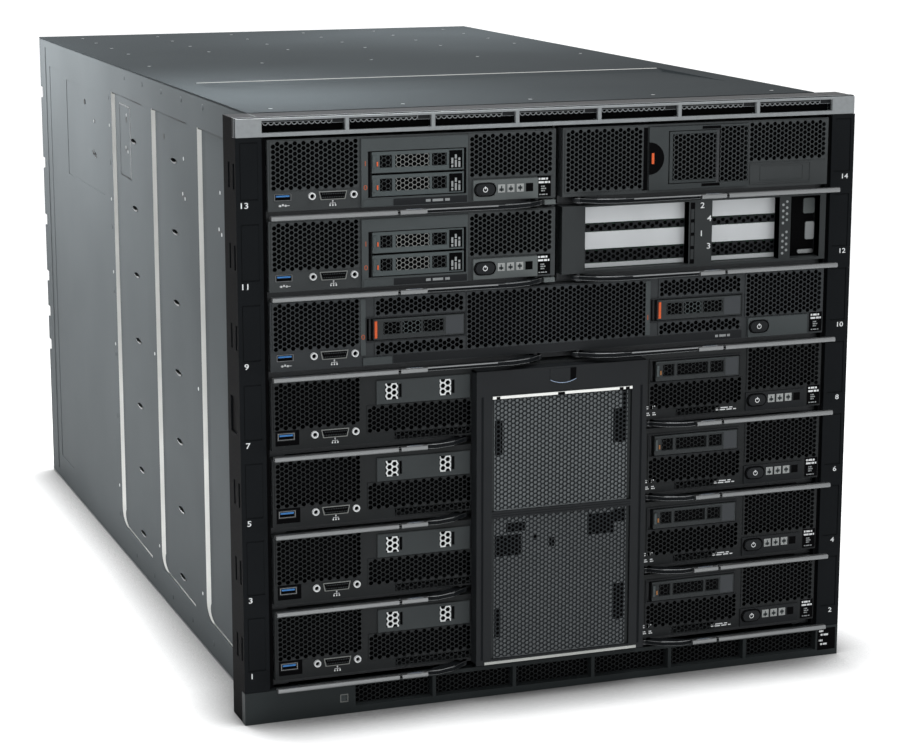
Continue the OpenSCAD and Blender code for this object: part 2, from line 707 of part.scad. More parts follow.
// Power button: a round-ended cap held behind the face by its flange.
function button_place(row) = row > 5 ? button_at(-half_in + half_panel_x) : button_at(panel_x);
module power_button(row) {
  p = button_place(row);
  translate([0, 0, row_z(row)]) color(panel_grey) {
    front(plate_y - 0.8, plate_out + face_t + 2.2) stadium(p[0], p[1], 14, 8);
    front(grille_y + face_t + clear, 1.5) stadium(p[0], p[1], 17, 11);
  }
}

// Storage node: a housing beside a half-width node, with one wide drive tray in its face.
tray_x = [half_in - 148, half_in - 67.5];
tray_d = 300; // depth of the tray behind the front plane
module storage_node_14() {
  x0 = half_in - node_w;
  x1 = half_in;
  translate([0, 0, row_z(7)]) {
    housing(x0, x1, [x0 + pivot_in]);
    color(charcoal) front(grille_y, face_t) difference() {
      rect(x0, x1, lever_space, node_top);
      comb(x0 + 2, tray_x[0] - 2, 12, node_top - 1.5);
      comb(tray_x[1] + 2, x1 - 3, io_h + 3, node_top - 1.5);
      rect(tray_x[0] - clear, tray_x[1] + clear, 7.7, node_top - 1.4);
    }
    color([0.1, 0.28, 0.18]) block(x0 + 8, x1 - 8, tray_d + 4, tray_d + 6, lever_space, node_top - wall + 0.1);
    color(plate_grey) front(grille_y - 0.8, 0.9) difference() {
      rect(tray_x[1] + 4, x1 - 12, 8.4, io_h + 1);
      rect(tray_x[1] + 5, x1 - 13, 9.4, io_h);
    }
  }
}

latch_x = [tray_x[0] + 16.5, tray_x[1] - 25];
latch_z = [12.5, node_top - 5.5];
latch_t = 2; // thickness of the latch
latch_y = plate_y + 0.2 + latch_t / 2;
module storage_tray() {
  z0 = 8;
  z1 = node_top - 1.7;
  translate([0, 0, row_z(7)]) {
    color(plate_grey) front(plate_y, plate_out + face_t) difference() {
      rect(tray_x[0], tray_x[1], z0, z1);
      translate([tray_x[0] + 2, (z0 + z1) / 2]) circle(11.5);
      rect(latch_x[0] - 0.6, latch_x[1] + 6, latch_z[0] - 1.2, latch_z[1] + 0.6);
      comb(latch_x[1] + 8, tray_x[1] - 1, z0 + 2, z1 - 2);
    }
    // seats of the latch's pin, below and above it
    color(plate_grey) for (seat = [[z0 + 0.2, latch_z[0] - 1.2], [latch_z[1] + 0.7, z1 - 0.2]])
      block(latch_x[1] - 12, latch_x[1] + 4, plate_y + 0.2, plate_y + 4, seat[0], seat[1]);
    color(orange) translate([tray_x[0] + 2.4, plate_y + 1.2, (z0 + z1) / 2 - 4]) cube([2, 4.8, 8]);
    color(steel) {
      block(tray_x[0] + 1, tray_x[1] - 1, grille_y + face_t - 0.1, tray_d, z0 + 1, z0 + 2.2);
      for (x = [tray_x[0] + 1, tray_x[1] - 2.2])
        block(x, x + 1.2, grille_y + face_t - 0.1, tray_d, z0 + 1, z1 - 1);
      block(tray_x[0] + 1, tray_x[1] - 1, 12, 14, z0 + 1, z1 - 1);
      block(tray_x[0] + 6, tray_x[1] - 6, 20, tray_d - 10, z0 + 2, z1 - 8);
    }
  }
}

// Grilled latch on the tray that swings out about an upright pin at its right edge.
module storage_latch() {
  translate([0, 0, row_z(7)]) {
    color(plate_grey) front(plate_y + 0.2, latch_t) difference() {
      rect(latch_x[0], latch_x[1], latch_z[0], latch_z[1]);
      comb(latch_x[0] + 3, latch_x[1] - 3, latch_z[0] + 3, latch_z[1] - 3);
    }
    color(steel) translate([latch_x[1], latch_y, latch_z[0] - 0.9])
      cylinder(r = 1.6, h = latch_z[1] - latch_z[0] + 1.2);
  }
}

// Card node: an open frame with windows onto the expansion cards.
card_windows = [[half_in - 197.5, half_in - 114], [half_in - 95, half_in - 39]];
vent_x = half_in - 36; // first column of small holes beside the windows
end_recess = [half_in - 29.5, half_in - 5]; // plain recess at the right end
card_frame_t = face_t + 6; // the card node's front frame
card_y = grille_y + card_frame_t + clear; // front of the cards' brackets
module card_node_12() {
  x0 = half_in - node_w;
  x1 = half_in;
  translate([0, 0, row_z(6)]) {
    housing(x0, x1, [x0 + pivot_in]);
    color(charcoal) front(grille_y, card_frame_t) difference() {
      rect(x0, x1, lever_space, node_top);
      for (w = card_windows) rect(w[0], w[1], 8, node_top - 1.2);
      rect(end_recess[0], end_recess[1], 8, node_top - 1.2);
      for (k = [0, 1], j = [0 : 8]) if (j != 4)
        translate([vent_x + 3 * k, 12 + 4.6 * j + 2.3 * k]) circle(1, $fn = 6);
    }
  }
}

// The expansion cards' brackets, their boards, and the dark perforated bars between them.
bracket_h = 11.6;
bracket_z = [23.6, node_top - 13]; // underside of each window's two brackets
bracket_t = 1.2;
card_d = 160; // depth of a card behind its bracket
module adapter_cards() {
  y1 = card_y + bracket_t;
  gap = 0.2; // between a bracket and the bar beside it
  translate([0, 0, row_z(6)]) for (w = card_windows) {
    color(silver) for (z = bracket_z) {
      block(w[0] - 1, w[1] + 1, card_y, y1, z, z + bracket_h);
      block(w[0] + 3, w[1] - 3, y1 - 0.1, card_y + card_d, z + 5, z + 6.6);
    }
    color(silver) block(w[0] - 1, w[1] + 1, card_y, y1, 8.2, 11.6);
    color(charcoal) front(card_y, bracket_t) difference() {
      rect(w[0] - 1, w[1] + 1, 11.8, bracket_z[0] - gap);
      comb(w[0] + 2, w[1] - 2, 15, bracket_z[0] - 1, 6, 1.2);
    }
    color(charcoal) block(w[0] - 1, w[1] + 1, card_y, y1, bracket_z[0] + bracket_h + gap, bracket_z[1] - gap);
  }
}

// Full-width server node with two drives and a long grille.
module wide_node_9() {
  x0 = -half_in;
  x1 = half_in;
  translate([0, 0, row_z(5)]) {
    housing(x0, x1, [-pivot_in - mid_gap / 2, pivot_in + mid_gap / 2]);
    board(x0, x1);
    difference() {
      union() {
        color(charcoal) front(grille_y, face_t) difference() {
          rect(x0, x1, lever_space, node_top);
          io_cuts(x0);
          for (x = wide_drive_x) {
            comb(x + 4, x + drive_w + 2, wide_drive_z - 9.6, wide_drive_z - 1);
            comb(x + 4, x + drive_w + 2, wide_drive_z + drive_h + 1, node_top - 1.5);
          }
          comb(wide_drive_x[0] + drive_w + 3, wide_drive_x[1] - 9, wide_drive_z - 9.6, node_top - 1.5);
          comb(wide_drive_x[1] + drive_w + 6, x1 - 2, io_h, node_top - 1.5);
        }
        color(plate_grey) for (x = wide_drive_x)
          front(plate_y + 1.2, plate_out - 1.2) rect(x - 8, x + 2, 14.5, node_top - 1);
        panel(panel_x, plate_out, panel_z);
        for (x = wide_drive_x) cage(x, wide_drive_z, 1);
      }
      front(plate_y - 1, plate_out + face_t + 2) {
        for (x = wide_drive_x) rect(x - 5, x + drive_w + 0.6, wide_drive_z - 0.6, wide_drive_z + drive_h + 0.6);
        button_hole(panel_x);
      }
    }
    io_parts(x0);
  }
}

// Full-width server node of the joined group of four.
bridge_x = bridge_w / 2;
plug_x = 30; // half width of the cover's plug into each node
plug_z = [20, 32]; // its lower and upper edge over the node's row
module quad_node(row) {
  x0 = -half_in;
  x1 = half_in;
  pivot = bridge_x + 7.5;
  filler_x = [-half_in + 78, -half_in + 149.5];
  filler_z = [node_top - 21.8, node_top - 4.5];
  mid_z = (filler_z[0] + filler_z[1]) / 2;
  translate([0, 0, row_z(row)]) {
    housing(x0, x1, [-pivot, pivot]);
    board(x0, x1);
    difference() {
      union() {
        color(charcoal) front(grille_y, face_t) difference() {
          rect(x0, x1, lever_space, node_top);
          io_cuts(x0);
          comb(filler_x[0] - 3, filler_x[1], 11, filler_z[0] - 1.7);
          comb(quad_drive_x, quad_drive_x + drive_w + 3, 11, quad_drive_z - 2);
          comb(panel_x + 2.5, x1 - 2, io_h, node_top - 1.5);
          rect(-plug_x - 2 * clear, plug_x + 2 * clear, plug_z[0] - 2 * clear, plug_z[1] + 2 * clear);
        }
        color(plate_grey) front(plate_y + 0.6, plate_out - 0.6)
          rect(filler_x[0], filler_x[1], filler_z[0], filler_z[1]);
        panel(panel_x, plate_out - 0.8, panel_z - 1);
        cage(quad_drive_x, quad_drive_z, 1);
      }
      front(plate_y - 1, plate_out + face_t + 2) {
        rect(quad_drive_x - 4, quad_drive_x + drive_w + 0.6, quad_drive_z - 0.6, quad_drive_z + drive_h + 0.6);
        button_hole(panel_x);
        for (x = [filler_x[0] + 12, filler_x[0] + 54]) translate([x, mid_z]) comb(-5, 5, -5.8, 5.8, 4.6, 0.9);
      }
    }
    io_parts(x0);
  }
}

// Cover over the middle of the four lower nodes, which joins them into one machine.
module bridge_cover() {
  z0 = row_z(1) + lever_space / 2;
  z1 = row_z(5) - 2.5;
  y1 = grille_y - clear;
  y0 = y1 - bridge_d;
  bx = bridge_x;
  header = 24.5;
  mid = row_z(3) + 1;
  window_x = bx - 14;
  color(charcoal) {
    front(y0, bridge_t) difference() {
      rect(-bx, bx, z0, z1);
      rect(-window_x, window_x, z0 + 3, mid);
      rect(-window_x, window_x, mid + 5, z1 - header);
    }
    for (s = [-1, 1]) block(min(s * bx, s * (bx - bridge_t)), max(s * bx, s * (bx - bridge_t)), y0, y1, z0, z1);
    block(-bx, bx, y0, y1, z1 - bridge_t, z1);
    block(-bx, bx, y0, y1, z0, z0 + bridge_t);
  }
  color(plate_grey) front(y0 + 3, 1.2) difference() {
    rect(-bx + 1, bx - 1, z0 + 1, z1 - 1);
    comb(-window_x + 1.5, window_x - 1.5, z0 + 4, mid - 1);
    comb(-window_x + 1.5, window_x - 1.5, mid + 6, z1 - header - 4);
  }
  color(charcoal) for (r = quad_rows)
    block(-plug_x, plug_x, y0 + 4.1, grille_y + face_t + 3, row_z(r) + plug_z[0], row_z(r) + plug_z[1]);
  color(silver) {
    block(-window_x, window_x, y0 - 1, y0 + 3.1, z1 - header - 2.6, z1 - header);
    block(-bx + 6, bx - 6, y0 - 1, y0 + 3.1, z0 + 0.4, z0 + 3);
  }
  color(plate_grey) front(y0 - 1.2, 1.3) {
    rect(-10, 10, z1 - 12, z1 - 0.2);
    translate([0, z1 - 12]) intersection() {
      circle(10);
      rect(-10, 10, -3, 1);
    }
  }
}

// ---- Levers ----------------------------------------------------------------------------

// The cam lever of a half bay: an eye on the pivot pin, a thin arm, a latch piece and a long grip.
// It is drawn for a left bay, with its pivot at x = pivot and its tip at the outer side.
function lever_pivot(bay) = bay > 8 ? -pivot_in - mid_gap / 2 : -bridge_x - 7.5;
lever_tip = body_w / 2 - 2.5;
module lever(bay) {
  row = ceil(bay / 2);
  pivot = lever_pivot(bay);
  py = pivot_y;
  y0 = -grip_out + grip_d / 2;
  color(charcoal) difference() {
    union() {
      translate([pivot, py, 0]) cylinder(r = eye_r, h = arm_h);
      linear_extrude(arm_h) polygon([[pivot - 2, py + eye_r - 0.6], [pivot - eye_r, py - 2],
        [pivot - 30, y0 + arm_d + 1], [-lever_tip + 1, y0 + arm_d], [-lever_tip + 1, y0], [pivot - 24, y0],
        [pivot - 10, y0 + 3.5], [pivot + eye_r - 1, py - 3]]);
    }
    translate([pivot, py, -1]) cylinder(r = pin_r + pin_play, h = arm_h + 2);
  }
  color(silver) for (p = [[-lever_tip, grip_len], [-lever_tip + grip_len + 2, latch_len]])
    translate([0, 0, arm_h / 2]) side(p[0], p[1]) union() {
      translate([-grip_out + grip_d / 2, 0]) scale([grip_d / (arm_h + 0.6), 1]) circle(arm_h / 2 + 0.3);
      translate([y0 - 0.1, 0]) square([0.2, arm_h], center = true);
    }
}
module placed_lever(bay) {
  translate([0, 0, row_z(ceil(bay / 2)) + arm_z]) mirror([1 - bay % 2, 0, 0]) lever(bay);
}

// Moves the origin from the front plane to the middle of the body's underside.
module in_frame() { translate([0, -body_d / 2, 0]) children(); }

in_frame() side_panel_left();
in_frame() side_panel_right();
in_frame() top_cover();
in_frame() base_plate();
in_frame() rear_frame();
in_frame() top_bezel();
in_frame() bottom_bezel();
in_frame() ear_left();
in_frame() ear_right();
in_frame() bay_shelves();
in_frame() side_runners();
in_frame() midplane();
in_frame() fan_modules();
in_frame() power_supplies();
in_frame() switch_modules();
in_frame() management_modules();
in_frame() half_node_13();
in_frame() half_node_11();
in_frame() storage_node_14();
in_frame() storage_tray();
in_frame() storage_latch();
in_frame() card_node_12();
in_frame() adapter_cards();
in_frame() wide_node_9();
in_frame() bridge_cover();
for (r = quad_rows)
  in_frame() quad_node(r);
for (bay = [1 : 14])
  in_frame() placed_lever(bay);
for (bay = odd_bays)
  in_frame() power_button((bay + 1) / 2);
for (name = drive_names)
  in_frame() drive(drive_place(name));
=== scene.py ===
"""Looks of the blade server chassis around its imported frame.

Sizes in the building code are in millimetres: x to the right of the middle, y to the rear of the front
plane, z above the underside. at() turns them into the frame's metres. A Maker can count x and z from a
place of its own: the faces of the nodes count z from their row's line, the carriers from their lower left.
"""
import json
import math
from functools import partial

import bmesh
import bpy
from mathutils import Matrix, Vector


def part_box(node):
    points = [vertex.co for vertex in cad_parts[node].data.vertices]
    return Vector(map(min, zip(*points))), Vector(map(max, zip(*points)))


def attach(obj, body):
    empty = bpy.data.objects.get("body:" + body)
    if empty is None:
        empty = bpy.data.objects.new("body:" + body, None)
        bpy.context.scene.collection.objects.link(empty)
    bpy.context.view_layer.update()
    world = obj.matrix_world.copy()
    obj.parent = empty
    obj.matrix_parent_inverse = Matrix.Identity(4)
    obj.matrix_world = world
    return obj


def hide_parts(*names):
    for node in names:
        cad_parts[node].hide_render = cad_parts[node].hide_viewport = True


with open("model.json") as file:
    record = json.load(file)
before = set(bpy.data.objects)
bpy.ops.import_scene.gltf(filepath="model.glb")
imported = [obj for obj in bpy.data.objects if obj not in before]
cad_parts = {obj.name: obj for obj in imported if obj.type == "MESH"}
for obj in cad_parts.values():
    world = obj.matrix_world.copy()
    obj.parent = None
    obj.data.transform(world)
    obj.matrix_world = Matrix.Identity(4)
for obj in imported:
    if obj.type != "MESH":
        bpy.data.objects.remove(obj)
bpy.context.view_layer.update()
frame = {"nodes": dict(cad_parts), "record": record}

# ---- Places taken from the frame -----------------------------------------------------------

MM = 0.001
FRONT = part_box("ear_left")[0].y  # the front plane


def at(x, y, z):
    """A point of the frame, from millimetres."""
    return Vector((x * MM, FRONT + y * MM, z * MM))


def span(node, base=0.0):
    """Lowest and highest corner of a CAD node, in millimetres from the front plane and the base height."""
    return tuple(Vector((c.x, c.y - FRONT, c.z)) / MM - Vector((0, 0, base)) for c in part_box(node))


ROWS = 7
FOOT = 0.5  # underside of a node over its row's line
ROW_BASE = span("wide_node_1")[0].z - FOOT
PITCH = (span("half_node_13")[0].z - span("wide_node_1")[0].z) / (ROWS - 1)
NODE_TOP = span("wide_node_1")[1].z - ROW_BASE  # top of a node over its row's line
HALF_IN = span("wide_node_1")[1].x  # half width of the space for the nodes
MID = span("storage_node_14")[0].x  # inner edge of a right-hand half-width node

# ---- Sizes that several pieces share -------------------------------------------------------

LEVER_SPACE = 6.0  # height of the space for the levers under a node's face
GRILLE_Y = -1.0  # front of the nodes' grilles
PLATE_Y = -3.0  # front of the plates that stand proud of them
WINDOW_TOP = 55.2  # top of a face's grilles over its row's line
PANEL_X, PANEL_WIDE = 154.5, 50  # left edge and width of a full-width node's power panel
LABEL_X = 207  # left edge of the label beside it
BUTTON_X, BUTTON_Z = 9, 14.6  # a power button's middle, from its panel's edge and over its row's line
HOLE, CELL = 3.1, 3.64  # width of a grille's hole, and from one hole to the next
REAR_Y = 798.0  # rear face of the modules
TAB_PLACES = (256, 396)  # the two columns of crescent tabs on a side panel
POST_STEP, POST_HALF = 64, 1.4  # of the posts between the vents over and under the bays
VENT_END = 222.0  # outer end of those vents


def body_half():
    """Half width of the steel body."""
    return span("top_cover")[1].x


def row_z(row):
    """Height of a row's line."""
    return ROW_BASE + (row - 1) * PITCH


def mirrored(side, a, b):
    """Two distances from the middle as the lower and the higher x on one side of it."""
    return sorted((side * a, side * b))


# ---- Finishes ------------------------------------------------------------------------------


def rgb(red, green, blue):
    """Linear colour of a screen colour given from 0 to 255."""
    parts = [c / 255 for c in (red, green, blue)]
    return tuple(((c + 0.055) / 1.055) ** 2.4 if c > 0.04 else c / 12.92 for c in parts)


def feed(tree, node, inputs):
    """Links an input of a shader node to an output, or sets it to a value."""
    for key, value in inputs.items():
        if isinstance(value, bpy.types.NodeSocket):
            tree.links.new(value, node.inputs[key])
        else:
            node.inputs[key].default_value = value


def wire(tree, kind, inputs, output=0, **settings):
    """Adds a shader node with its inputs and settings, and returns one of its outputs."""
    node = tree.nodes.new("ShaderNode" + kind)
    for key, value in settings.items():
        setattr(node, key, value)
    feed(tree, node, inputs)
    return node.outputs[output]


def finish(title, colour, rough, metal=0.0, vary=0.08, patch=0.06, grain=0.0004, bump=0.15, stretch=(1, 1, 1),
           specular=0.5):
    """A material whose colour and gloss drift over patches, with a fine grain in its surface."""
    material = bpy.data.materials.new(title)
    material.use_nodes = True
    tree = material.node_tree
    place = wire(tree, "TexCoord", {}, "Object")
    place = wire(tree, "Mapping", {"Vector": place, "Scale": stretch})
    patches, fine = [wire(tree, "TexNoise", {"Vector": place, "Scale": 1 / size, "Detail": detail}, "Fac")
                     for size, detail in ((patch, 3.0), (grain, 2.0))]
    tint = wire(tree, "ValToRGB", {"Fac": patches}, "Color")
    for stop, position, share in ((0, 0.3, 1 - vary), (1, 0.7, 1 + vary)):
        element = tint.node.color_ramp.elements[stop]
        element.position = position
        element.color = (*(min(1.0, c * share) for c in rgb(*colour)), 1.0)
    gloss = wire(tree, "MapRange", {"Value": fine, "From Min": 0.3, "From Max": 0.7, "To Min": max(0.03, rough * 0.88),
                                    "To Max": min(1.0, rough * 1.12)}, "Result")
    look = {"Metallic": metal, "Specular IOR Level": specular, "Base Color": tint, "Roughness": gloss}
    if bump:
        look["Normal"] = wire(tree, "Bump", {"Strength": bump, "Distance": grain * 0.2, "Height": fine}, "Normal")
    feed(tree, tree.nodes["Principled BSDF"], look)
    return material


sheet_metal = partial(finish, grain=0.0006, bump=0.1)
plastic = partial(finish, grain=0.0005, bump=0.25, specular=0.15)
ink = partial(finish, bump=0.0, specular=0.1)
FINISHES = {
    "steel": sheet_metal("steel_sheet", (120, 124, 126), 0.3, metal=0.85, vary=0.05, patch=0.12),
    "side_sheet": sheet_metal("side_sheet", (86, 90, 92), 0.34, metal=0.08, vary=0.06, patch=0.12, specular=0.0),
    "cover": sheet_metal("cover_sheet", (46, 50, 52), 0.3, metal=0.09, patch=0.15, specular=0.0),
    "cover_edge": sheet_metal("cover_edge", (168, 170, 167), 0.5, metal=0.9),
    # painted highlight: a bright metal strip that stands for light on the ramps' slopes and on edges
    "pressed_edge": sheet_metal("pressed_edge", (226, 227, 224), 0.4, metal=1.0),
    # bright dimples and rivets; also a painted highlight on the tabs' lips and a hatch's edges
    "dimple": finish("dimple_metal", (190, 193, 194), 0.3, metal=0.9, bump=0.1),
    # painted shade: dark in holes, inside the tabs and along the shaded edges of the ramps and a hatch
    "sheet_hole": finish("sheet_hole", (30, 31, 32), 0.5, metal=0.3),
    "dark_steel": finish("inner_steel", (50, 52, 54), 0.5, metal=0.4),
    "light_frame": finish("light_frame", (140, 144, 146), 0.55, vary=0.07, patch=0.004, grain=0.0008, bump=0.5,
                          specular=0.3),
    "charcoal": plastic("charcoal_plastic", (32, 34, 36), 0.42, bump=0.3, specular=0.12),
    "bezel_low": plastic("bezel_low", (42, 46, 47), 0.42, bump=0.3, specular=0.1),
    "grille_dark": plastic("grille_dark", (36, 38, 39), 0.42, bump=0.3, specular=0.12),
    "grille_mid": plastic("grille_mid", (48, 51, 53), 0.45, specular=0.2),
    "grille": finish("grille_metal", (60, 63, 64), 0.5, grain=0.0006, specular=0.15),
    "mesh_web": plastic("mesh_web", (32, 35, 37), 0.45, bump=0.2, specular=0.1),
    "rail": plastic("rail_plastic", (22, 24, 26), 0.38, specular=0.03),
    # black parts and labels; also painted shade: black sheets behind grilles and in gaps, recesses and ducts
    "black": finish("black_recess", (6, 6, 7), 0.7, specular=0.03),
    "plate": plastic("plate_grey", (70, 75, 76), 0.5),
    "tray": plastic("tray_grey", (58, 62, 63), 0.5),
    "panel": plastic("panel_grey", (94, 99, 99), 0.5),
    "dark_panel": plastic("dark_panel", (48, 51, 52), 0.5),
    "label_grey": finish("label_grey", (62, 65, 68), 0.5, specular=0.2),
    "carrier": finish("carrier_grey", (76, 83, 84), 0.48, grain=0.0005, specular=0.2),
    "carrier_dark": plastic("carrier_dark", (50, 53, 54), 0.45),
    "bright_web": finish("bright_web", (120, 122, 120), 0.4, metal=0.5),
    "icon_print": finish("icon_print", (158, 161, 160), 0.6),
    "backing": finish("backing", (126, 131, 133), 0.6),
    # painted shade: a darker copy of backing for the lower panel
    "backing_low": finish("backing_low", (104, 108, 110), 0.6),
    "eyelet": finish("eyelet_metal", (214, 217, 217), 0.4, metal=0.3),
    # brushed silver; also a painted highlight strip along the top of the lever arms
    "silver": finish("brushed_silver", (128, 130, 131), 0.34, metal=0.85, grain=0.0003, stretch=(0.06, 1, 1)),
    # painted highlight: a polished lens that stands for a glint on the lever arms
    "chrome": finish("polished_pin", (205, 207, 209), 0.12, metal=1.0, bump=0.0),
    "white": ink("white_print", (225, 227, 228), 0.6),
    "grey_print": ink("grey_print", (150, 153, 154), 0.6),
    "orange_print": ink("orange_print", (166, 88, 60), 0.5),
    "amber": finish("amber_plastic", (150, 98, 44), 0.5),
    "orange": finish("orange_latch", (222, 98, 52), 0.4, specular=0.2),
    "blue": finish("blue_tongue", (62, 122, 186), 0.35, specular=0.2),
    # blue latch tops with a painted glint; also a painted highlight in the cover tab's recess
    "blue_glint": finish("blue_grey_latch", (140, 156, 178), 0.25, metal=0.6),
    "bracket": finish("bracket_metal", (196, 199, 201), 0.45, metal=0.3),
    "board": finish("circuit_board", (22, 78, 48), 0.45, vary=0.2, patch=0.006),
}

# ---- Building kit --------------------------------------------------------------------------


def circle(x, z, radius, count=24, start=0.0, turn=360.0):
    """Points on a circle or an arc."""
    whole = abs(turn) >= 360
    steps = count if whole else count + 1
    angles = [math.radians(start + turn * i / count) for i in range(steps)]
    return [(x + radius * math.cos(a), z + radius * math.sin(a)) for a in angles]


def oval(x, z, width, height):
    """A slot with round ends."""
    r = height / 2
    reach = width / 2 - r
    return circle(x + reach, z, r, 10, -90, 180) + circle(x - reach, z, r, 10, 90, 180)


def rounded(x0, x1, z0, z1, radius, count=4):
    """A rectangle with round corners."""
    points = []
    for x, z, start in ((x1 - radius, z1 - radius, 0), (x0 + radius, z1 - radius, 90),
                        (x0 + radius, z0 + radius, 180), (x1 - radius, z0 + radius, 270)):
        points += circle(x, z, radius, count, start, 90)
    return points


class Maker:
    """Collects shapes in millimetres from its own x and z, each with its finish, and makes one piece of them."""

    def __init__(self, x=0.0, z=0.0):
        self.x, self.z = x, z
        self.solid = bmesh.new()  # gets softened edges
        self.fine = bmesh.new()  # stays as it is
        self.used = []

    def at(self, x, y, z):
        return at(self.x + x, y, self.z + z)

    def index(self, name):
        if name not in self.used:
            self.used.append(name)
        return self.used.index(name)

    def shape(self, points, faces, name, fine=False):
        """Adds a closed shape from its corners and faces."""
        mesh = self.fine if fine else self.solid
        corners = [mesh.verts.new(self.at(*p)) for p in points]
        made = [mesh.faces.new([corners[i] for i in face]) for face in faces]
        for face in made:
            face.material_index = self.index(name)
        bmesh.ops.recalc_face_normals(mesh, faces=made)

    def extrude(self, outline, low, high, name, axis="y", fine=False):
        """An outline pushed along an axis; it lies in the other two, in the order x, y, z."""
        place = {"x": lambda u, v, w: (w, u, v), "y": lambda u, v, w: (u, w, v), "z": lambda u, v, w: (u, v, w)}[axis]
        count = len(outline)
        points = [place(u, v, w) for w in (low, high) for u, v in outline]
        faces = [list(range(count)), list(range(2 * count - 1, count - 1, -1))]
        faces += [[i, (i + 1) % count, count + (i + 1) % count, count + i] for i in range(count)]
        self.shape(points, faces, name, fine)

    def box(self, x0, x1, y0, y1, z0, z1, name, fine=False):
        self.extrude([(x0, z0), (x1, z0), (x1, z1), (x0, z1)], y0, y1, name, fine=fine)

    def mark(self, *corners_and_name):
        """A box whose edges stay sharp."""
        self.box(*corners_and_name, fine=True)

    def band(self, outer, inner, y0, y1, name):
        """A flat ring between two outlines with as many points."""
        n = len(outer)
        points = [(px, y, pz) for y in (y0, y1) for rim in (outer, inner) for px, pz in rim]
        faces = []
        for i in range(n):
            j = (i + 1) % n
            faces += [[i, j, n + j, n + i], [2 * n + j, 2 * n + i, 3 * n + i, 3 * n + j],
                      [j, i, 2 * n + i, 2 * n + j], [n + i, n + j, 3 * n + j, 3 * n + i]]
        self.shape(points, faces, name)

    def plate(self, x0, x1, z0, z1, y0, y1, name, holes=()):
        """An upright plate with rectangular holes, each (x0, x1, z0, z1)."""
        xs = sorted({x0, x1, *(v for h in holes for v in h[:2] if x0 < v < x1)})
        zs = sorted({z0, z1, *(v for h in holes for v in h[2:] if z0 < v < z1)})

        def full(i, j):
            if not (0 <= i < len(xs) - 1 and 0 <= j < len(zs) - 1):
                return False
            x, z = (xs[i] + xs[i + 1]) / 2, (zs[j] + zs[j + 1]) / 2
            return not any(h[0] < x < h[1] and h[2] < z < h[3] for h in holes)

        points, faces, known = [], [], {}

        def corner(i, j, y):
            if (i, j, y) not in known:
                known[i, j, y] = len(points)
                points.append((xs[i], y, zs[j]))
            return known[i, j, y]

        for i in range(len(xs) - 1):
            for j in range(len(zs) - 1):
                if not full(i, j):
                    continue
                around = [(i, j), (i + 1, j), (i + 1, j + 1), (i, j + 1)]
                faces.append([corner(*c, y0) for c in around])
                faces.append([corner(*c, y1) for c in reversed(around)])
                for (di, dj), a, b in zip(((0, -1), (1, 0), (0, 1), (-1, 0)), around, around[1:] + around[:1]):
                    if not full(i + di, j + dj):
                        faces.append([corner(*a, y1), corner(*b, y1), corner(*b, y0), corner(*a, y0)])
        self.shape(points, faces, name)

    def comb(self, x0, x1, z0, z1, y, name, thick=0.8, cell=CELL, hole=HOLE, whole=True):
        """A perforated sheet: six-sided holes in staggered columns, all whole or cut off at the edge."""
        sheet = bmesh.new()
        outer, inner = cell / math.sqrt(3), hole / math.sqrt(3)
        step = cell * math.sqrt(3) / 2
        columns = int((x1 - x0 - 2 * inner) / step) + 5  # two more than fit at each side, cut off below
        halves = int((z1 - z0 - hole) / (cell / 2))
        levels = halves // 2 + 4
        left = (x0 + x1 - (columns - 1) * step) / 2
        foot = (z0 + z1) / 2 - halves * cell / 4 - cell
        for i in range(columns):
            for j in range(levels):
                x, z = left + i * step, foot + (j + i % 2 / 2) * cell
                rim = [sheet.verts.new(self.at(px, y, pz)) for px, pz in circle(x, z, outer, 6)]
                fits = x0 < x - inner and x + inner < x1 and z0 < z - hole / 2 and z + hole / 2 < z1
                if fits or not whole:
                    edge = [sheet.verts.new(self.at(px, y, pz)) for px, pz in circle(x, z, inner, 6)]
                    for k in range(6):
                        m = (k + 1) % 6
                        sheet.faces.new([rim[k], rim[m], edge[m], edge[k]])
                else:
                    sheet.faces.new(rim)
        bmesh.ops.remove_doubles(sheet, verts=sheet.verts, dist=0.02 * MM)
        for (x, z), normal in (((x0, z0), (-1, 0, 0)), ((x1, z1), (1, 0, 0)),
                               ((x0, z0), (0, 0, -1)), ((x1, z1), (0, 0, 1))):
            bmesh.ops.bisect_plane(sheet, geom=sheet.verts[:] + sheet.edges[:] + sheet.faces[:], dist=1e-7,
                                   plane_co=self.at(x, y, z), plane_no=normal, clear_outer=True)
        bmesh.ops.solidify(sheet, geom=sheet.faces[:], thickness=-thick * MM)
        self.merge(sheet, name)

    def merge(self, sheet, name=None):
        """Adds a ready mesh to the fine part, in one finish or in those that its faces have."""
        for face in sheet.faces if name else ():
            face.material_index = self.index(name)
        mesh = bpy.data.meshes.new("part")
        sheet.to_mesh(mesh)
        sheet.free()
        self.fine.from_mesh(mesh)
        bpy.data.meshes.remove(mesh)

    def copy(self, node, keep, name_of):
        """Copies the faces of a CAD node that keep(lowest, highest corner) accepts."""
        sheet = bmesh.new()
        sheet.from_mesh(frame["nodes"][node].data)
        gone = []
        for face in sheet.faces:
            corners = [Vector((v.co.x, v.co.y - FRONT, v.co.z)) / MM for v in face.verts]
            lo, hi = (Vector([pick(c[k] for c in corners) for k in range(3)]) for pick in (min, max))
            if keep(lo, hi):
                face.material_index = self.index(name_of(lo, hi))
            else:
                gone.append(face)
        bmesh.ops.delete(sheet, geom=gone, context="FACES")
        self.merge(sheet)

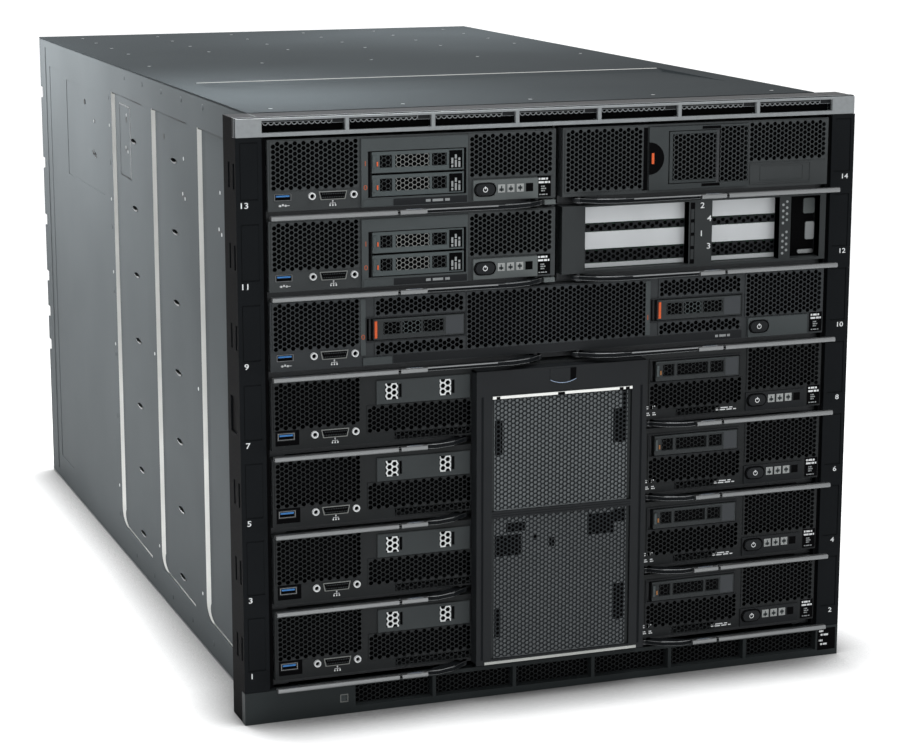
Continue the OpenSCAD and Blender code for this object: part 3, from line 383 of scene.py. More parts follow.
    def number(self, text, x, z, y, size, name):
        """Plain digits, centred on x and z, that face the front."""
        curve = bpy.data.curves.new("digits", "FONT")
        curve.body = text
        curve.size = size * MM
        curve.extrude = 0.04 * MM
        curve.offset = size * 0.008 * MM
        curve.align_x = curve.align_y = "CENTER"
        curve.resolution_u = 3
        holder = bpy.data.objects.new("digits", curve)
        bpy.context.scene.collection.objects.link(holder)
        mesh = bpy.data.meshes.new_from_object(holder.evaluated_get(bpy.context.evaluated_depsgraph_get()))
        upright = Matrix.Translation(self.at(x, y, z)) @ Matrix.Rotation(math.radians(90), 4, "X")
        mesh.transform(upright @ Matrix.Diagonal((1.25, 1, 1, 1)))
        sheet = bmesh.new()
        sheet.from_mesh(mesh)
        bpy.data.objects.remove(holder)
        bpy.data.curves.remove(curve)
        bpy.data.meshes.remove(mesh)
        self.merge(sheet, name)

    def make(self, name, body, slot, soften=0.25, replaces=()):
        """Turns what was collected into one piece that rides on a body."""
        if soften and self.solid.edges:
            sharp = [e for e in self.solid.edges if len(e.link_faces) == 2 and e.calc_face_angle(0) > 0.6]
            bmesh.ops.bevel(self.solid, geom=sharp, offset=soften * MM, offset_type="OFFSET", segments=2,
                            profile=0.6, affect="EDGES", clamp_overlap=True)
        mesh = bpy.data.meshes.new(name)
        self.solid.to_mesh(mesh)
        self.fine.from_mesh(mesh)
        self.fine.to_mesh(mesh)
        self.solid.free()
        self.fine.free()
        for used in self.used:
            mesh.materials.append(FINISHES[used])
        piece = bpy.data.objects.new(name, mesh)
        bpy.context.scene.collection.objects.link(piece)
        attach(piece, body)
        if replaces:
            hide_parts(*replaces)

    def replace(self, node, ending, body=None, slot="node_metal", soften=0.25):
        """Turns what was collected into a piece that stands for a CAD node and is named after it."""
        self.make(node + ending, body or node, slot, soften, [node])


# ---- CAD nodes that stay: their finishes ---------------------------------------------------


def dress(node, name, names=(), choose=None):
    """Gives a CAD node its finish, or one of several chosen from each face's centre and normal."""
    mesh = frame["nodes"][node].data
    every = (name, *names)
    mesh.materials.clear()
    for each in every:
        mesh.materials.append(FINISHES[each])
    for face in mesh.polygons:
        pick = name
        if choose:
            c = face.center
            pick = choose(Vector((c.x, c.y - FRONT, c.z)) / MM, face.normal)
        face.material_index = every.index(pick)


def dress_frame():
    """Finishes of the CAD nodes that stay as they are."""
    for node, side in (("side_panel_left", -1), ("side_panel_right", 1)):
        dress(node, "side_sheet", ("sheet_hole",), lambda c, n, side=side: side_finish(side * c.x, c, n))
    for node in ("ear_left", "ear_right"):
        dress(node, "rail", ("black",), ear_finish)
    for node, name in (("rear_frame", "steel"), ("base_plate", "steel"), ("top_cover", "cover"),
                       ("bottom_bezel", "charcoal"), ("bay_shelves", "dark_steel"),
                       ("side_runners", "dark_steel"), ("midplane", "board"), ("storage_latch", "plate")):
        dress(node, name)
    dress("fan_modules", "charcoal", ("black", "dark_panel"), fan_finish)
    for node in ("power_supplies", "switch_modules", "management_modules"):
        dress(node, "steel", ("black", "charcoal"), module_finish)
    for row in range(1, ROWS + 1):
        dress(f"power_button_{2 * row - 1}", "charcoal")


def ear_finish(c, n):
    """Painted shade: black on the outer flanks of an ear."""
    return "black" if abs(n.x) > 0.7 and abs(c.x) > HALF_IN + 20 else "rail"


def fan_finish(c, n):
    """Painted shade in black inside the ducts, a little lighter on the blades and the hub."""
    if c.y > REAR_Y - 0.2:
        return "charcoal"
    return "dark_panel" if REAR_Y - 32 < c.y and abs(n.y) > 0.3 else "black"


def module_finish(c, n):
    """Steel faces, black as painted shade in what is sunk behind them, and dark handles in front of them."""
    if c.y > REAR_Y + 0.05:
        return "charcoal"
    return "steel" if c.y > REAR_Y - 0.2 or abs(n.x) > 0.9 and c.y < REAR_Y - 60 else "black"


def side_finish(out, c, n):
    """Painted shade inside the crescent tabs of a side panel, plain elsewhere."""
    tab = out > HALF_IN and any(abs(c.y - y) < 15 for y in TAB_PLACES) and abs(n.z) > 0.5
    return "sheet_hole" if tab and c.z > row_z(1) + 3 else "side_sheet"


# ---- Details on the outer sheets -----------------------------------------------------------

RAMPS = ((476, 121), (326, 120), (176, 130))  # steep end and length of each ramp pressed into the sides
RAMP_SLOPE, RAMP_DEPTH = 16.0, 2.0
RAMP_LOW, RAMP_HIGH = 26.0, 415.0  # lower and upper end of the ramps


def ramp_x(y, end, length):
    """How deep a pressed ramp lies at a depth y."""
    if y > end - RAMP_SLOPE:
        return RAMP_DEPTH * (end - y) / RAMP_SLOPE
    return max(0.0, RAMP_DEPTH * (y - end + length) / (length - RAMP_SLOPE))


def skin(y):
    """How deep the side sheet lies at a depth y."""
    return max([ramp_x(y, end, length) for end, length in RAMPS if end - length < y < end], default=0.0)


def strip(m, side, line, name, out=0.12):
    """A thin strip on the side sheet through pairs of points (y, z, y, z)."""
    sheet = bmesh.new()
    flat = body_half() + out
    rows = [[sheet.verts.new(at(side * (flat - skin(y)), y, z)) for y, z in ((ya, za), (yb, zb))]
            for ya, za, yb, zb in line]
    for one, two in zip(rows, rows[1:]):
        sheet.faces.new([one[0], one[1], two[1], two[0]])
    bmesh.ops.solidify(sheet, geom=sheet.faces[:], thickness=0.1 * MM)
    m.merge(sheet, name)


def ribbon(m, side, end, length):
    """The rolled edge of a ramp as a painted highlight down its steep end, round the corner and along its foot, with a
    line of painted shade along its top.
    """
    wide, thin, turn, low, high = 10.0, 1.8, 16.0, RAMP_LOW, RAMP_HIGH
    line = [(end - 0.4, high, end - wide, high)]
    for k in range(7):
        a = math.radians(15 * k)
        width = wide + (thin - wide) * k / 6
        line.append((end - 0.4 - turn + turn * math.cos(a), low + turn - turn * math.sin(a),
                     end - turn + (turn - width) * math.cos(a), low + turn - (turn - width) * math.sin(a)))
    line += [(end - length + f, low, end - length + f, low + thin) for f in (length * 0.6, 6.0)]
    strip(m, side, line, "pressed_edge")
    # painted shade: a dark line along the top of the ramp
    strip(m, side, [(y, high - 1, y, high) for y in (end - length + 6, end - 18, end - 2)], "sheet_hole")


def side_details(side):
    """Rolled edges and tab lips as painted highlights, dimples, holes as painted shade, and a small hatch edged with
    painted highlight and shade, on one side panel.
    """
    m = Maker()
    for end, length in RAMPS:
        ribbon(m, side, end, length)
    for y0 in TAB_PLACES:
        for row in range(1, ROWS + 1):
            z0 = row_z(row) + 12.5  # height of the tab
            lip = []
            for k in range(9):
                y = -9 + 2.25 * k
                z = 34 - math.sqrt(36 ** 2 - y * y)
                lip.append((y0 + y, z0 + z - 0.3, y0 + y, z0 + z + 0.5 + 0.6 * (k < 6)))
            # painted highlight along the lower edge of each tab
            strip(m, side, lip, "dimple", 0.3)

    def disc(y, z, radius, name):
        flat = body_half() - skin(y)
        m.extrude(circle(y, z, radius, 12), *mirrored(side, flat + 0.15, flat - 0.3), name, axis="x", fine=True)

    singles = [(486, 60 + 65 * k) for k in range(6)] + [(y, 44 + 166 * k) for y in (188, 334) for k in range(2)]
    for y, z in ((552, 354), (424, 372), (222, 358), (116, 345)):
        singles += [(y + 4, z), (y - 4, z - 3), (y - 1, z + 28)]
        for shift, drop in ((5.2, 0.8), (-2.8, 2.3)):
            # painted shade: dark discs in place of holes
            disc(y + shift, z - drop, 2.2, "sheet_hole")
    for y, z in singles:
        disc(y, z, 1.5, "dimple")
    # painted shade: dark discs in place of holes
    for y in (424, 290, 590):
        disc(y, 396, 2.4, "sheet_hole")
    # painted highlight on the hatch's upper and left edges, painted shade on its lower and right edges
    for name, a, b, c, d in (("sheet_hole", 408, 452, 346, 347), ("dimple", 408, 452, 407, 408),
                             ("dimple", 408, 410, 346, 408), ("sheet_hole", 451, 452, 346, 408)):
        strip(m, side, [(y, c, y, d) for y in (a, (a + b) / 2, b)], name)
    m.make(f"side_details_{'left' if side < 0 else 'right'}", "chassis", "sheet_steel", soften=0)


def top_details():
    """A painted highlight along the edge of the ramp pressed into the top sheet, and the sunk rivets."""
    m = Maker()
    top = span("top_cover")[1].z
    edge = 269.0
    m.extrude([(edge, top - 0.02), (edge, top - 0.15), (edge - 2.4, top - 0.45), (edge - 2.4, top - 0.2)], -200, 200,
              "pressed_edge", axis="x", fine=True)
    for x, y in ([(75 * (i - 2.5), y) for i in range(6) for y in (564, 634, 703, 764)]
                 + [(99.75 * (i - 2), y) for i in range(5) for y in (56, 431)]):
        m.extrude(circle(x, y, 1.7, 12), top - 0.4, top - 0.05, "dimple", axis="z", fine=True)
    m.make("top_cover_details", "chassis", "sheet_steel", soften=0)


# ---- Nodes ---------------------------------------------------------------------------------


def housing(node, row, board=True):
    """The sheet housing of a node as the CAD has it, with its inside, and without its face."""
    z0 = row_z(row)
    lowest, highest = span(node)
    m = Maker()

    def keep(lo, hi):
        return not (hi.y < 1.06 and lo.z > z0 + LEVER_SPACE - 0.2)

    def name_of(lo, hi):
        flat = hi - lo
        outside = (flat.x < 0.01 and (abs(lo.x - lowest.x) < 0.1 or abs(lo.x - highest.x) < 0.1)
                   or flat.z < 0.01 and (abs(lo.z - z0 - FOOT) < 0.1 or abs(lo.z - z0 - NODE_TOP) < 0.1)
                   or flat.y < 0.01 and abs(lo.y - highest.y) < 0.1)
        if outside:
            return "steel"
        if board and lo.y > 139 and lo.z > z0 + 1.3:
            if hi.z < z0 + 4.6:
                return "board"
            return "bright_web" if hi.z < z0 + 49 else "dark_steel"
        return "dark_steel"

    m.copy(node, keep, name_of)
    m.replace(node, "_housing")


def face(m, x0, x1, name, windows, holes=(), cut=0):
    """A node's face sheet with a grille and a black sheet of painted shade behind each window; windows no higher than
    cut get cut cells.
    """
    m.plate(x0, x1, LEVER_SPACE, NODE_TOP, GRILLE_Y, GRILLE_Y + 2, name, [*windows, *holes])
    for a, b, low, high in windows:
        m.comb(a, b, low, high, GRILLE_Y + 0.2, name, whole=high - low > cut)
        # painted shade: a black sheet behind the grille
        m.mark(a, b, GRILLE_Y + 9, GRILLE_Y + 9.4, low, high, "black")


SOCKET_GRILLE = (1.4 - HALF_IN, 66.4 - HALF_IN, 20.4, WINDOW_TOP)  # the window over the sockets
SOCKET_HOLE = (4.3 - HALF_IN, 16.9 - HALF_IN, 13.2, 18.4)  # for the small socket


def sockets(m):
    """The small socket, the wide socket with its two jackscrews, and plain marks under them."""
    x0, y = -HALF_IN, GRILLE_Y
    m.box(x0 + 4.2, x0 + 17.0, y + 0.9, y + 6, 13.1, 18.5, "black")
    m.plate(x0 + 4.4, x0 + 16.8, 13.3, 18.3, y - 0.25, y + 1.5, "silver", [(x0 + 5.0, x0 + 16.2, 13.8, 17.8)])
    m.box(x0 + 5.6, x0 + 15.6, y - 0.1, y + 1.5, 15.9, 17.3, "blue")
    x, z = x0 + 47, 15.8  # middle of the wide socket
    wide = [(10.6, 3.2), (9.2, -3.2), (-9.2, -3.2), (-10.6, 3.2)]
    m.extrude([(x + a, z + b) for a, b in wide], y - 0.7, y + 1.2, "bright_web")
    m.extrude([(x + a * 0.92, z + b * 0.78) for a, b in wide], y - 0.8, y + 1.2, "black")
    for k in range(13):
        for level in (-1, 1):
            px, pz = x - 7.8 + k * 1.3 + level * 0.3, z + level * 1.2
            m.mark(px - 0.3, px + 0.3, y - 0.95, y - 0.5, pz - 0.3, pz + 0.3, "grille")
    for px in (x - 15.3, x + 15.3):
        m.band(circle(px, z, 2.7, 20), circle(px, z, 1.5, 20), y - 1.6, y + 0.5, "white")
        m.extrude(circle(px, z, 1.6), y - 0.2, y + 0.5, "black")
    marks = [(x0 + 8 + k * 2.0, x0 + 9.2 + k * 2.0, 9.2 + k % 2 * 0.5, 10.6 + k % 2 * 0.5) for k in range(3)]
    marks += [(x0 + 7.4, x0 + 15.4, 9.75, 10.1)]
    for dx in (-2.0, 0.0, 2.0):
        marks += [(x + dx - 0.5, x + dx + 0.5, 8.2, 9.3), (x + dx - 0.15, x + dx + 0.15, 9.3, 10.3)]
    marks += [(x - 2.0, x + 2.0, 10.1, 10.4), (x - 0.15, x + 0.15, 10.3, 11.9), (x - 0.5, x + 0.5, 11.4, 12.2)]
    for a, b, low, high in marks:
        m.mark(a, b, y - 0.06, y + 0.24, low, high, "white")


def bars(m, x0, x1, z0, z1, y, name, lines, words=3, upright=False):
    """A patch of generic print: short bars in lines."""
    reach, depth = (z1 - z0, x1 - x0) if upright else (x1 - x0, z1 - z0)
    for i in range(lines):
        across = depth * (i + 0.5) / lines
        half = depth / lines * 0.28
        start = 0.0
        for k in range(words):
            length = reach * (0.16 + 0.1 * ((3 * i + 2 * k) % 4))
            end = min(reach, start + length)
            if end - start > 0.3:
                a, b, c, d = (x0 + across - half, x0 + across + half, z0 + start, z0 + end) if upright else (
                    x0 + start, x0 + end, z1 - across - half, z1 - across + half)
                m.mark(a, b, y - 0.06, y + 0.2, c, d, name)
            start = end + reach * 0.07


def well(x0):
    """The hole for the power button in a panel and in the face behind it."""
    return x0 + 1.8, x0 + 16.2, 10.3, 18.9


def power_panel(m, x0, top, y, name, label_x, squares=True):
    """A panel with the button's well, its ring mark and status squares, and a dark label on the grille."""
    m.plate(x0, x0 + PANEL_WIDE, LEVER_SPACE + 0.6, top, y, GRILLE_Y + 0.1, name, [well(x0)])
    x, z = x0 + BUTTON_X, BUTTON_Z
    m.band(oval(x, z, 17.6, 10.4), oval(x, z, 14.6, 8.6), y - 0.15, y + 1.6, "black")
    for k, light in enumerate((True, True, True, False) * squares):
        x = x0 + 21.6 + 7.2 * k
        m.box(x - 2.9, x + 2.9, y - 0.12, y + 0.5, z - 2.8, z + 3.4, "icon_print" if light else "black")
        if light:
            m.mark(x - 1.7, x + 1.7, y - 0.2, y + 0.2, z - 1.4 + k * 0.4, z + 0.4 + k * 0.4, "plate")
            m.mark(x - 0.5, x + 0.5, y - 0.2, y + 0.2, z - 1.9, z + 2.2, "plate")
    y = GRILLE_Y - 0.3
    m.box(label_x, label_x + 11, y, y + 0.9, 7.2, 22.5, "black")
    bars(m, label_x + 1.2, label_x + 10, 16.5, 21.5, y, "white", 2)
    bars(m, label_x + 3.2, label_x + 8, 10.8, 15.6, y, "grey_print", 3, 2)
    bars(m, label_x + 1.6, label_x + 9.6, 8.2, 9.6, y, "grey_print", 1)


def button_mark(row, x0):
    """The ring and stroke on a power button, from its panel's left edge."""
    m = Maker(x0 + BUTTON_X, row_z(row) + BUTTON_Z)
    y = PLATE_Y - 0.8
    m.band(circle(0, 0, 1.9, 16), circle(0, 0, 1.35, 16), y - 0.08, y + 0.2, "white")
    m.mark(-0.28, 0.28, y - 0.1, y + 0.2, 0.4, 2.4, "white")
    m.make(f"button_mark_{2 * row - 1}", f"power_button_{2 * row - 1}", "button_plastic", soften=0)


def half_node(row):
    """A half-width server node: sockets, a drive cage in a lighter plate, a grille and the power panel."""
    node = f"half_node_{2 * row - 1}"
    x0, x1 = -HALF_IN, -MID
    housing(node, row)
    m = Maker(z=row_z(row))
    plate0, plate1 = x0 + 67.5, x0 + 147.5
    cage = (x0 + 72.5, x0 + 146.1, 12.8, 45.6)
    panel = x0 + 151.5
    face(m, x0, x1, "grille", [SOCKET_GRILLE, (plate1 + 0.6, x1 - 1.6, 23, WINDOW_TOP)],
         [cage, well(panel), SOCKET_HOLE])
    m.plate(plate0, plate1, LEVER_SPACE, 54.5, PLATE_Y, GRILLE_Y + 0.1, "plate", [cage])
    m.box(plate0 + 1, plate0 + 23, PLATE_Y - 0.3, PLATE_Y + 0.2, 6.4, 11.6, "plate")
    m.box(plate0 + 23.6, plate1 - 0.6, PLATE_Y - 0.12, PLATE_Y + 0.2, 6.4, 11.6, "charcoal")
    bars(m, plate0 + 48, plate0 + 70, 7.4, 10.6, PLATE_Y - 0.12, "grey_print", 1)
    # painted shade on the left inner wall of the drive cage
    m.box(cage[0] - 0.5, cage[0] + 2.2, PLATE_Y + 0.2, GRILLE_Y + 3, cage[2], cage[3], "black")
    for text, z in (("1", 37), ("0", 20)):
        m.number(text, plate0 + 3, z, PLATE_Y - 0.02, 5, "orange_print")
    sockets(m)
    power_panel(m, panel, 21.5, PLATE_Y, "panel", x1 - 14.5)
    m.box(x1 - 9, x1 - 0.4, GRILLE_Y - 1.5, 4, 1.4, 4.9, "panel")
    m.replace(node, "_face")
    button_mark(row, panel)


def storage_node():
    """The storage node's face beside its tray, and the tray with its latch grille."""
    z0, x0, x1 = row_z(7), MID, HALF_IN
    housing("storage_node_14", 7, board=False)
    lo, hi = span("storage_tray", z0)
    m = Maker(z=z0)
    face(m, x0, x1, "grille", [(x0 + 1.6, 66.4, 9, WINDOW_TOP), (151.3, x1 - 0.9, 25.4, WINDOW_TOP)],
         [(lo.x - 0.3, hi.x + 0.3, 7.7, 54.6)])
    m.plate(153.5, 204, 8.5, 24, GRILLE_Y - 0.4, GRILLE_Y + 0.1, "grille", [(154.1, 203.4, 9.1, 23.4)])
    m.plate(162, 198, 11, 22, GRILLE_Y - 0.25, GRILLE_Y + 0.1, "grille", [(162.5, 197.5, 11.5, 21.5)])
    # painted shade: a black strip in the gap beside the tray
    m.box(lo.x - 4.6, lo.x - 0.6, GRILLE_Y - 0.2, GRILLE_Y + 0.4, 8, 54, "black")
    m.replace("storage_node_14", "_face")

    m = Maker(z=z0)
    m.copy("storage_tray", lambda a, b: b.y > 1.06 and a.y > -2.9, lambda a, b: "dark_steel")
    groove, pin = 86.0, 126.0
    grille = (pin + 1.8, hi.x - 0.1, 11.9, 53)
    m.plate(lo.x, hi.x, lo.z, hi.z, PLATE_Y, 1, "tray", [(groove, pin + 1.8, 11.9, 51.1), grille])
    m.comb(*grille, PLATE_Y + 0.6, "grille", whole=False)
    # painted shade: a black sheet behind the tray's grille
    m.mark(groove, hi.x - 0.1, 5, 5.4, 12, 53, "black")
    # painted shade in the half-round notch
    m.extrude(circle(lo.x, 31.4, 12, 20, -90, 180), PLATE_Y - 0.05, PLATE_Y + 1, "black")
    m.box(lo.x + 1.8, lo.x + 3.8, PLATE_Y - 0.4, PLATE_Y + 0.4, 27.4, 35.4, "orange")
    for z in (9.2, 51.6):
        m.box(pin - 13, pin + 2, PLATE_Y - 0.1, PLATE_Y + 1, z, z + 2.2, "black")
    m.replace("storage_tray", "_front")

    m = Maker(z=z0)
    lo, hi = span("storage_latch", z0)
    m.plate(lo.x, hi.x - 1.4, 12.5, 50.5, PLATE_Y + 0.2, PLATE_Y + 2.2, "tray", [(lo.x + 2.5, hi.x - 1.5, 14.5, 48.5)])
    m.comb(lo.x + 2.5, hi.x - 1.4, 14.5, 48.5, PLATE_Y + 0.5, "grille", whole=False)
    m.extrude(circle(pin, PLATE_Y + 1.2, 1.6), lo.z, hi.z, "dark_steel", axis="z")
    m.replace("storage_latch", "_grille")


def card_node():
    """The card node's frame, with windows onto the brackets and plain slot numbers on its post."""
    housing("card_node_12", 6)
    m = Maker(z=row_z(6))
    back = GRILLE_Y + 7.9
    windows = [(a, b, 8, 54.8) for a, b in ((21, 104.5), (123.5, 179.5), (189, 213.5))]
    m.plate(MID, HALF_IN, LEVER_SPACE, NODE_TOP, GRILLE_Y, back, "dark_panel", windows)
    m.plate(105.4, 109.5, 8, 54.4, GRILLE_Y - 0.1, GRILLE_Y + 1, "black",
            [(106.4, 108.5, 12 + 10 * k, 19 + 10 * k) for k in range(4)])
    for text, x, z in (("2", 115.3, 51.5), ("4", 121.2, 41.5), ("1", 114.8, 30.5), ("3", 121.0, 20.8)):
        m.number(text, x, z, GRILLE_Y - 0.02, 6, "white")
    for k in range(2):
        for level in range(9):
            if level != 4:
                m.extrude(circle(182.5 + 3.2 * k, 12 + 4.6 * level + 2.3 * k, 1.1, 6), GRILLE_Y - 0.05,
                          GRILLE_Y + 0.4, "grey_print", fine=True)
    # painted shade: a black sheet behind the last window
    m.box(189, 213.5, back + 0.6, back + 1.4, 8, 54.8, "black")
    m.extrude(rounded(203.5, 213.4, 40, 52, 1.5), back + 0.1, back + 1, "panel")
    m.extrude(rounded(205.5, 213.4, 20, 34, 1.5), back + 0.1, back + 1, "grey_print")
    m.extrude(rounded(199, 213, 9.6, 13, 1.5), back - 0.4, back + 1, "silver")
    m.replace("card_node_12", "_face")


def cards():
    """The expansion cards: light brackets, perforated dark bars between them and the boards behind."""
    front, m = span("adapter_cards")[0].y, Maker(z=row_z(6))
    m.copy("adapter_cards", lambda a, b: a.y > front + 1 or b.y > front + 20, lambda a, b: "board")
    for a, b in ((20.0, 105.5), (122.5, 184.5)):
        for low, high in ((8.2, 12.0), (22.0, 35.2), (41.4, 54.7)):
            m.box(a, b, front, front + 1, low, high, "bracket")
        for low, high in ((12.2, 21.8), (35.4, 41.2)):
            m.comb(a, b, low, high, front + 0.2, "charcoal", cell=4.0, hole=3.0)
            # painted shade: a black sheet behind the perforated bar
            m.mark(a, b, front + 0.9, front + 1.2, low, high, "black")
            m.box(a, b, front - 0.2, front + 0.4, high - 0.7, high, "charcoal")
    m.make("adapter_card_brackets", "card_node_12", "card_bracket", replaces=["adapter_cards"])


def wide_node():
    """The full-width node: sockets, two drives behind posts, one long grille and the power panel."""
    z0, x0, x1 = row_z(5), -HALF_IN, HALF_IN
    node = "wide_node_9"
    housing(node, 5)
    m = Maker(z=z0)
    cages = [(lo.x - 5, hi.x + 0.6, lo.z - 0.6, hi.z + 0.6)
             for lo, hi in (span("drive_9_left", z0), span("drive_9_right", z0))]
    windows = [SOCKET_GRILLE, (cages[0][1] + 1.4, cages[1][0] - 2.8, 13, WINDOW_TOP),
               (cages[1][1] + 3, x1 - 1.2, 22.4, WINDOW_TOP)]
    for a, b, low, high in cages:
        windows += [(a + 6, b, 13, low - 1.2), (a + 6, b, high + 1.2, WINDOW_TOP)]
    face(m, x0, x1, "grille_mid", windows, [*cages, well(PANEL_X), SOCKET_HOLE])
    for a, b, low, high in cages:
        m.plate(a - 4.5, a - 0.5, 13.5, 54.5, PLATE_Y + 1.2, GRILLE_Y + 0.1, "plate")
        m.plate(a - 1, b + 1, low - 1.2, high + 1.2, GRILLE_Y - 0.8, GRILLE_Y + 0.1, "charcoal", [(a, b, low, high)])
        m.number("1" if a > 0 else "0", a - 2.6, low + 3, PLATE_Y + 1.15, 5, "orange_print")
    m.box(x0 + 68, x0 + 90, PLATE_Y + 0.6, GRILLE_Y + 0.1, 6.4, 12, "plate")
    m.box(x0 + 91, 150, GRILLE_Y - 0.2, GRILLE_Y + 0.1, 6.4, 12.6, "charcoal")
    bars(m, 128, 143, 7.6, 10.8, GRILLE_Y - 0.2, "grey_print", 1)
    sockets(m)
    power_panel(m, PANEL_X, 21.5, PLATE_Y, "plate", LABEL_X, squares=False)
    m.replace(node, "_face")
    button_mark(5, PANEL_X)


def quad_node(row):
    """One of the four joined nodes: recessed sockets, a filler plate, a drive and the power panel."""
    node = f"wide_node_{2 * row - 1}"
    x0, x1 = -HALF_IN, HALF_IN
    housing(node, row)
    m = Maker(z=row_z(row))
    lo, hi = span(f"drive_{2 * row - 1}", row_z(row))
    cage = (lo.x - 4, hi.x + 0.6, lo.z - 0.6, hi.z + 0.6)
    fill0, fill1 = -140.5, -69.0  # ends of the filler plate
    plug = (-30.6, 30.6, 19.4, 32.6)
    windows = [SOCKET_GRILLE, (fill0 - 7, fill1 + 1.4, 13.4, 33.6), (cage[0] - 1, cage[1] + 3, 13.4, 33.4),
               (fill0 + 14, fill1 + 1.4, 7.4, 12.4), (cage[0] + 22, cage[0] + 58, 7.4, 12.4),
               (155, x1 - 1.2, 22.4, WINDOW_TOP)]
    face(m, x0, x1, "grille_dark", windows, [cage, plug, well(PANEL_X), SOCKET_HOLE], cut=10)
    m.plate(x0 + 2.6, x0 + 20.4, 9.2, 20.6, GRILLE_Y - 0.15, GRILLE_Y + 0.05, "black",
            [(x0 + 4.0, x0 + 17.2, 12.8, 18.8)])
    eyes = [(fill0 + 6.5, fill0 + 16), (fill0 + 48, fill0 + 56.5)]
    m.plate(fill0, fill1, 34.2, 51.5, PLATE_Y + 0.6, GRILLE_Y + 0.1, "tray",
            [(a, b, 37.6, 49.2) for a, b in eyes] + [(b + 1, b + 3, 38.5, 48.3) for a, b in eyes])
    for a, b in eyes:
        # painted shade: a black sheet behind each eye and in the slot beside it
        m.box(a, b + 4, GRILLE_Y - 0.2, GRILLE_Y + 0.05, 37.6, 49.2, "black")
        m.comb(a, b, 37.6, 49.2, PLATE_Y + 0.8, "eyelet", cell=4.3, hole=3.3, whole=False)
    m.plate(cage[0] - 1, cage[1] + 1, cage[2] - 1.2, cage[3] + 1.2, GRILLE_Y - 0.8, GRILLE_Y + 0.1, "charcoal", [cage])
    for x, z in ((72.5, 8.6), (77.5, 8.6), (72.5, 13.6), (77.5, 13.6)):
        bars(m, x, x + 3.6, z, z + 3, GRILLE_Y, "white", 2, 2)
    bars(m, 130, 147, 8.2, 11.2, GRILLE_Y, "white", 2)
    sockets(m)
    power_panel(m, PANEL_X, 20.5, PLATE_Y + 0.8, "charcoal", LABEL_X)
    m.replace(node, "_face")
    button_mark(row, PANEL_X)


def drive(node, body):
    """A drive carrier: a frame with three grilled windows, a latch and a label.

    Those of the half-width nodes are light, those beside the cover (plain) and of the full-width node
    (large) are darker and have a bare label.
    """
    lo, hi = span(node)
    large = body.startswith("drive_9")
    plain = lo.x > 0 and hi.z < row_z(5)
    y, wide, high = lo.y + 1, hi.x - lo.x, hi.z - lo.z
    m = Maker(lo.x, lo.z)
    frame_name, web = ("carrier_dark", "carrier") if plain or large else ("carrier", "bright_web")
    windows = ((7.5, 20.5), (21.8, 36), (37.3, 53.5)) if large else ((6, 15), (17.5, 43), (45, 56))
    m.plate(0, wide, 0, high, y, y + 2, frame_name, [(a, b, 3.6, high - 2.6) for a, b in windows])
    m.box(0.4, wide - 0.4, y + 3.2, hi.y, 0.4, high - 0.4, "dark_steel")
    # painted shade: a black sheet behind the windows
    m.box(0.2, wide - 0.2, y + 1.8, y + 3.4, 0.2, high - 0.2, "black")
    for i, (a, b) in enumerate(windows):
        name, sunk = ("grille_dark", 1.9) if plain else (web if i == 1 else "carrier_dark", 0.3)
        m.comb(a, b, 3.6, high - 2.6, y + sunk, name, cell=3.4, hole=3.0, thick=0.5, whole=False)
        if plain:
            m.plate(a - 0.5, b + 0.5, 3.1, high - 2.1, y - 0.1, y + 0.5, "rail", [(a, b, 3.6, high - 2.6)])
    if plain or large:
        m.box(54.6 if large else 57.5, wide - 0.8, y - 0.15, y + 0.5, 0.8, high - 0.8, "label_grey")
        for a in (57.0, wide - 1.0) * plain:
            m.box(a, a + 0.5, y - 0.3, y + 0.5, 0.8, high - 0.8, "carrier")
        m.box(0.6, wide - 0.6, y - 0.2, y + 0.2, high - 1.0, high - 0.4, "carrier")
    else:
        m.box(57.5, wide - 1, y - 0.15, y + 0.5, 0.8, high - 0.8, "black")
        bars(m, 58.8, wide - 2.2, 1.8, high - 1.8, y - 0.15, "grey_print", 3, 2, upright=True)
    if large:
        m.box(0.4, 2.6, lo.y, y + 0.1, 1.2, high - 1.2, "orange")
    else:
        m.box(0.4, 2.6, lo.y, y + 0.1, 3.6, high - 2.6, "carrier")
        m.box(3.2, 4.8, y - 0.4, y + 0.1, 4.6, 8.2, "amber" if plain else "orange")
    m.replace(node, "_carrier", body, "drive_carrier", 0.3)


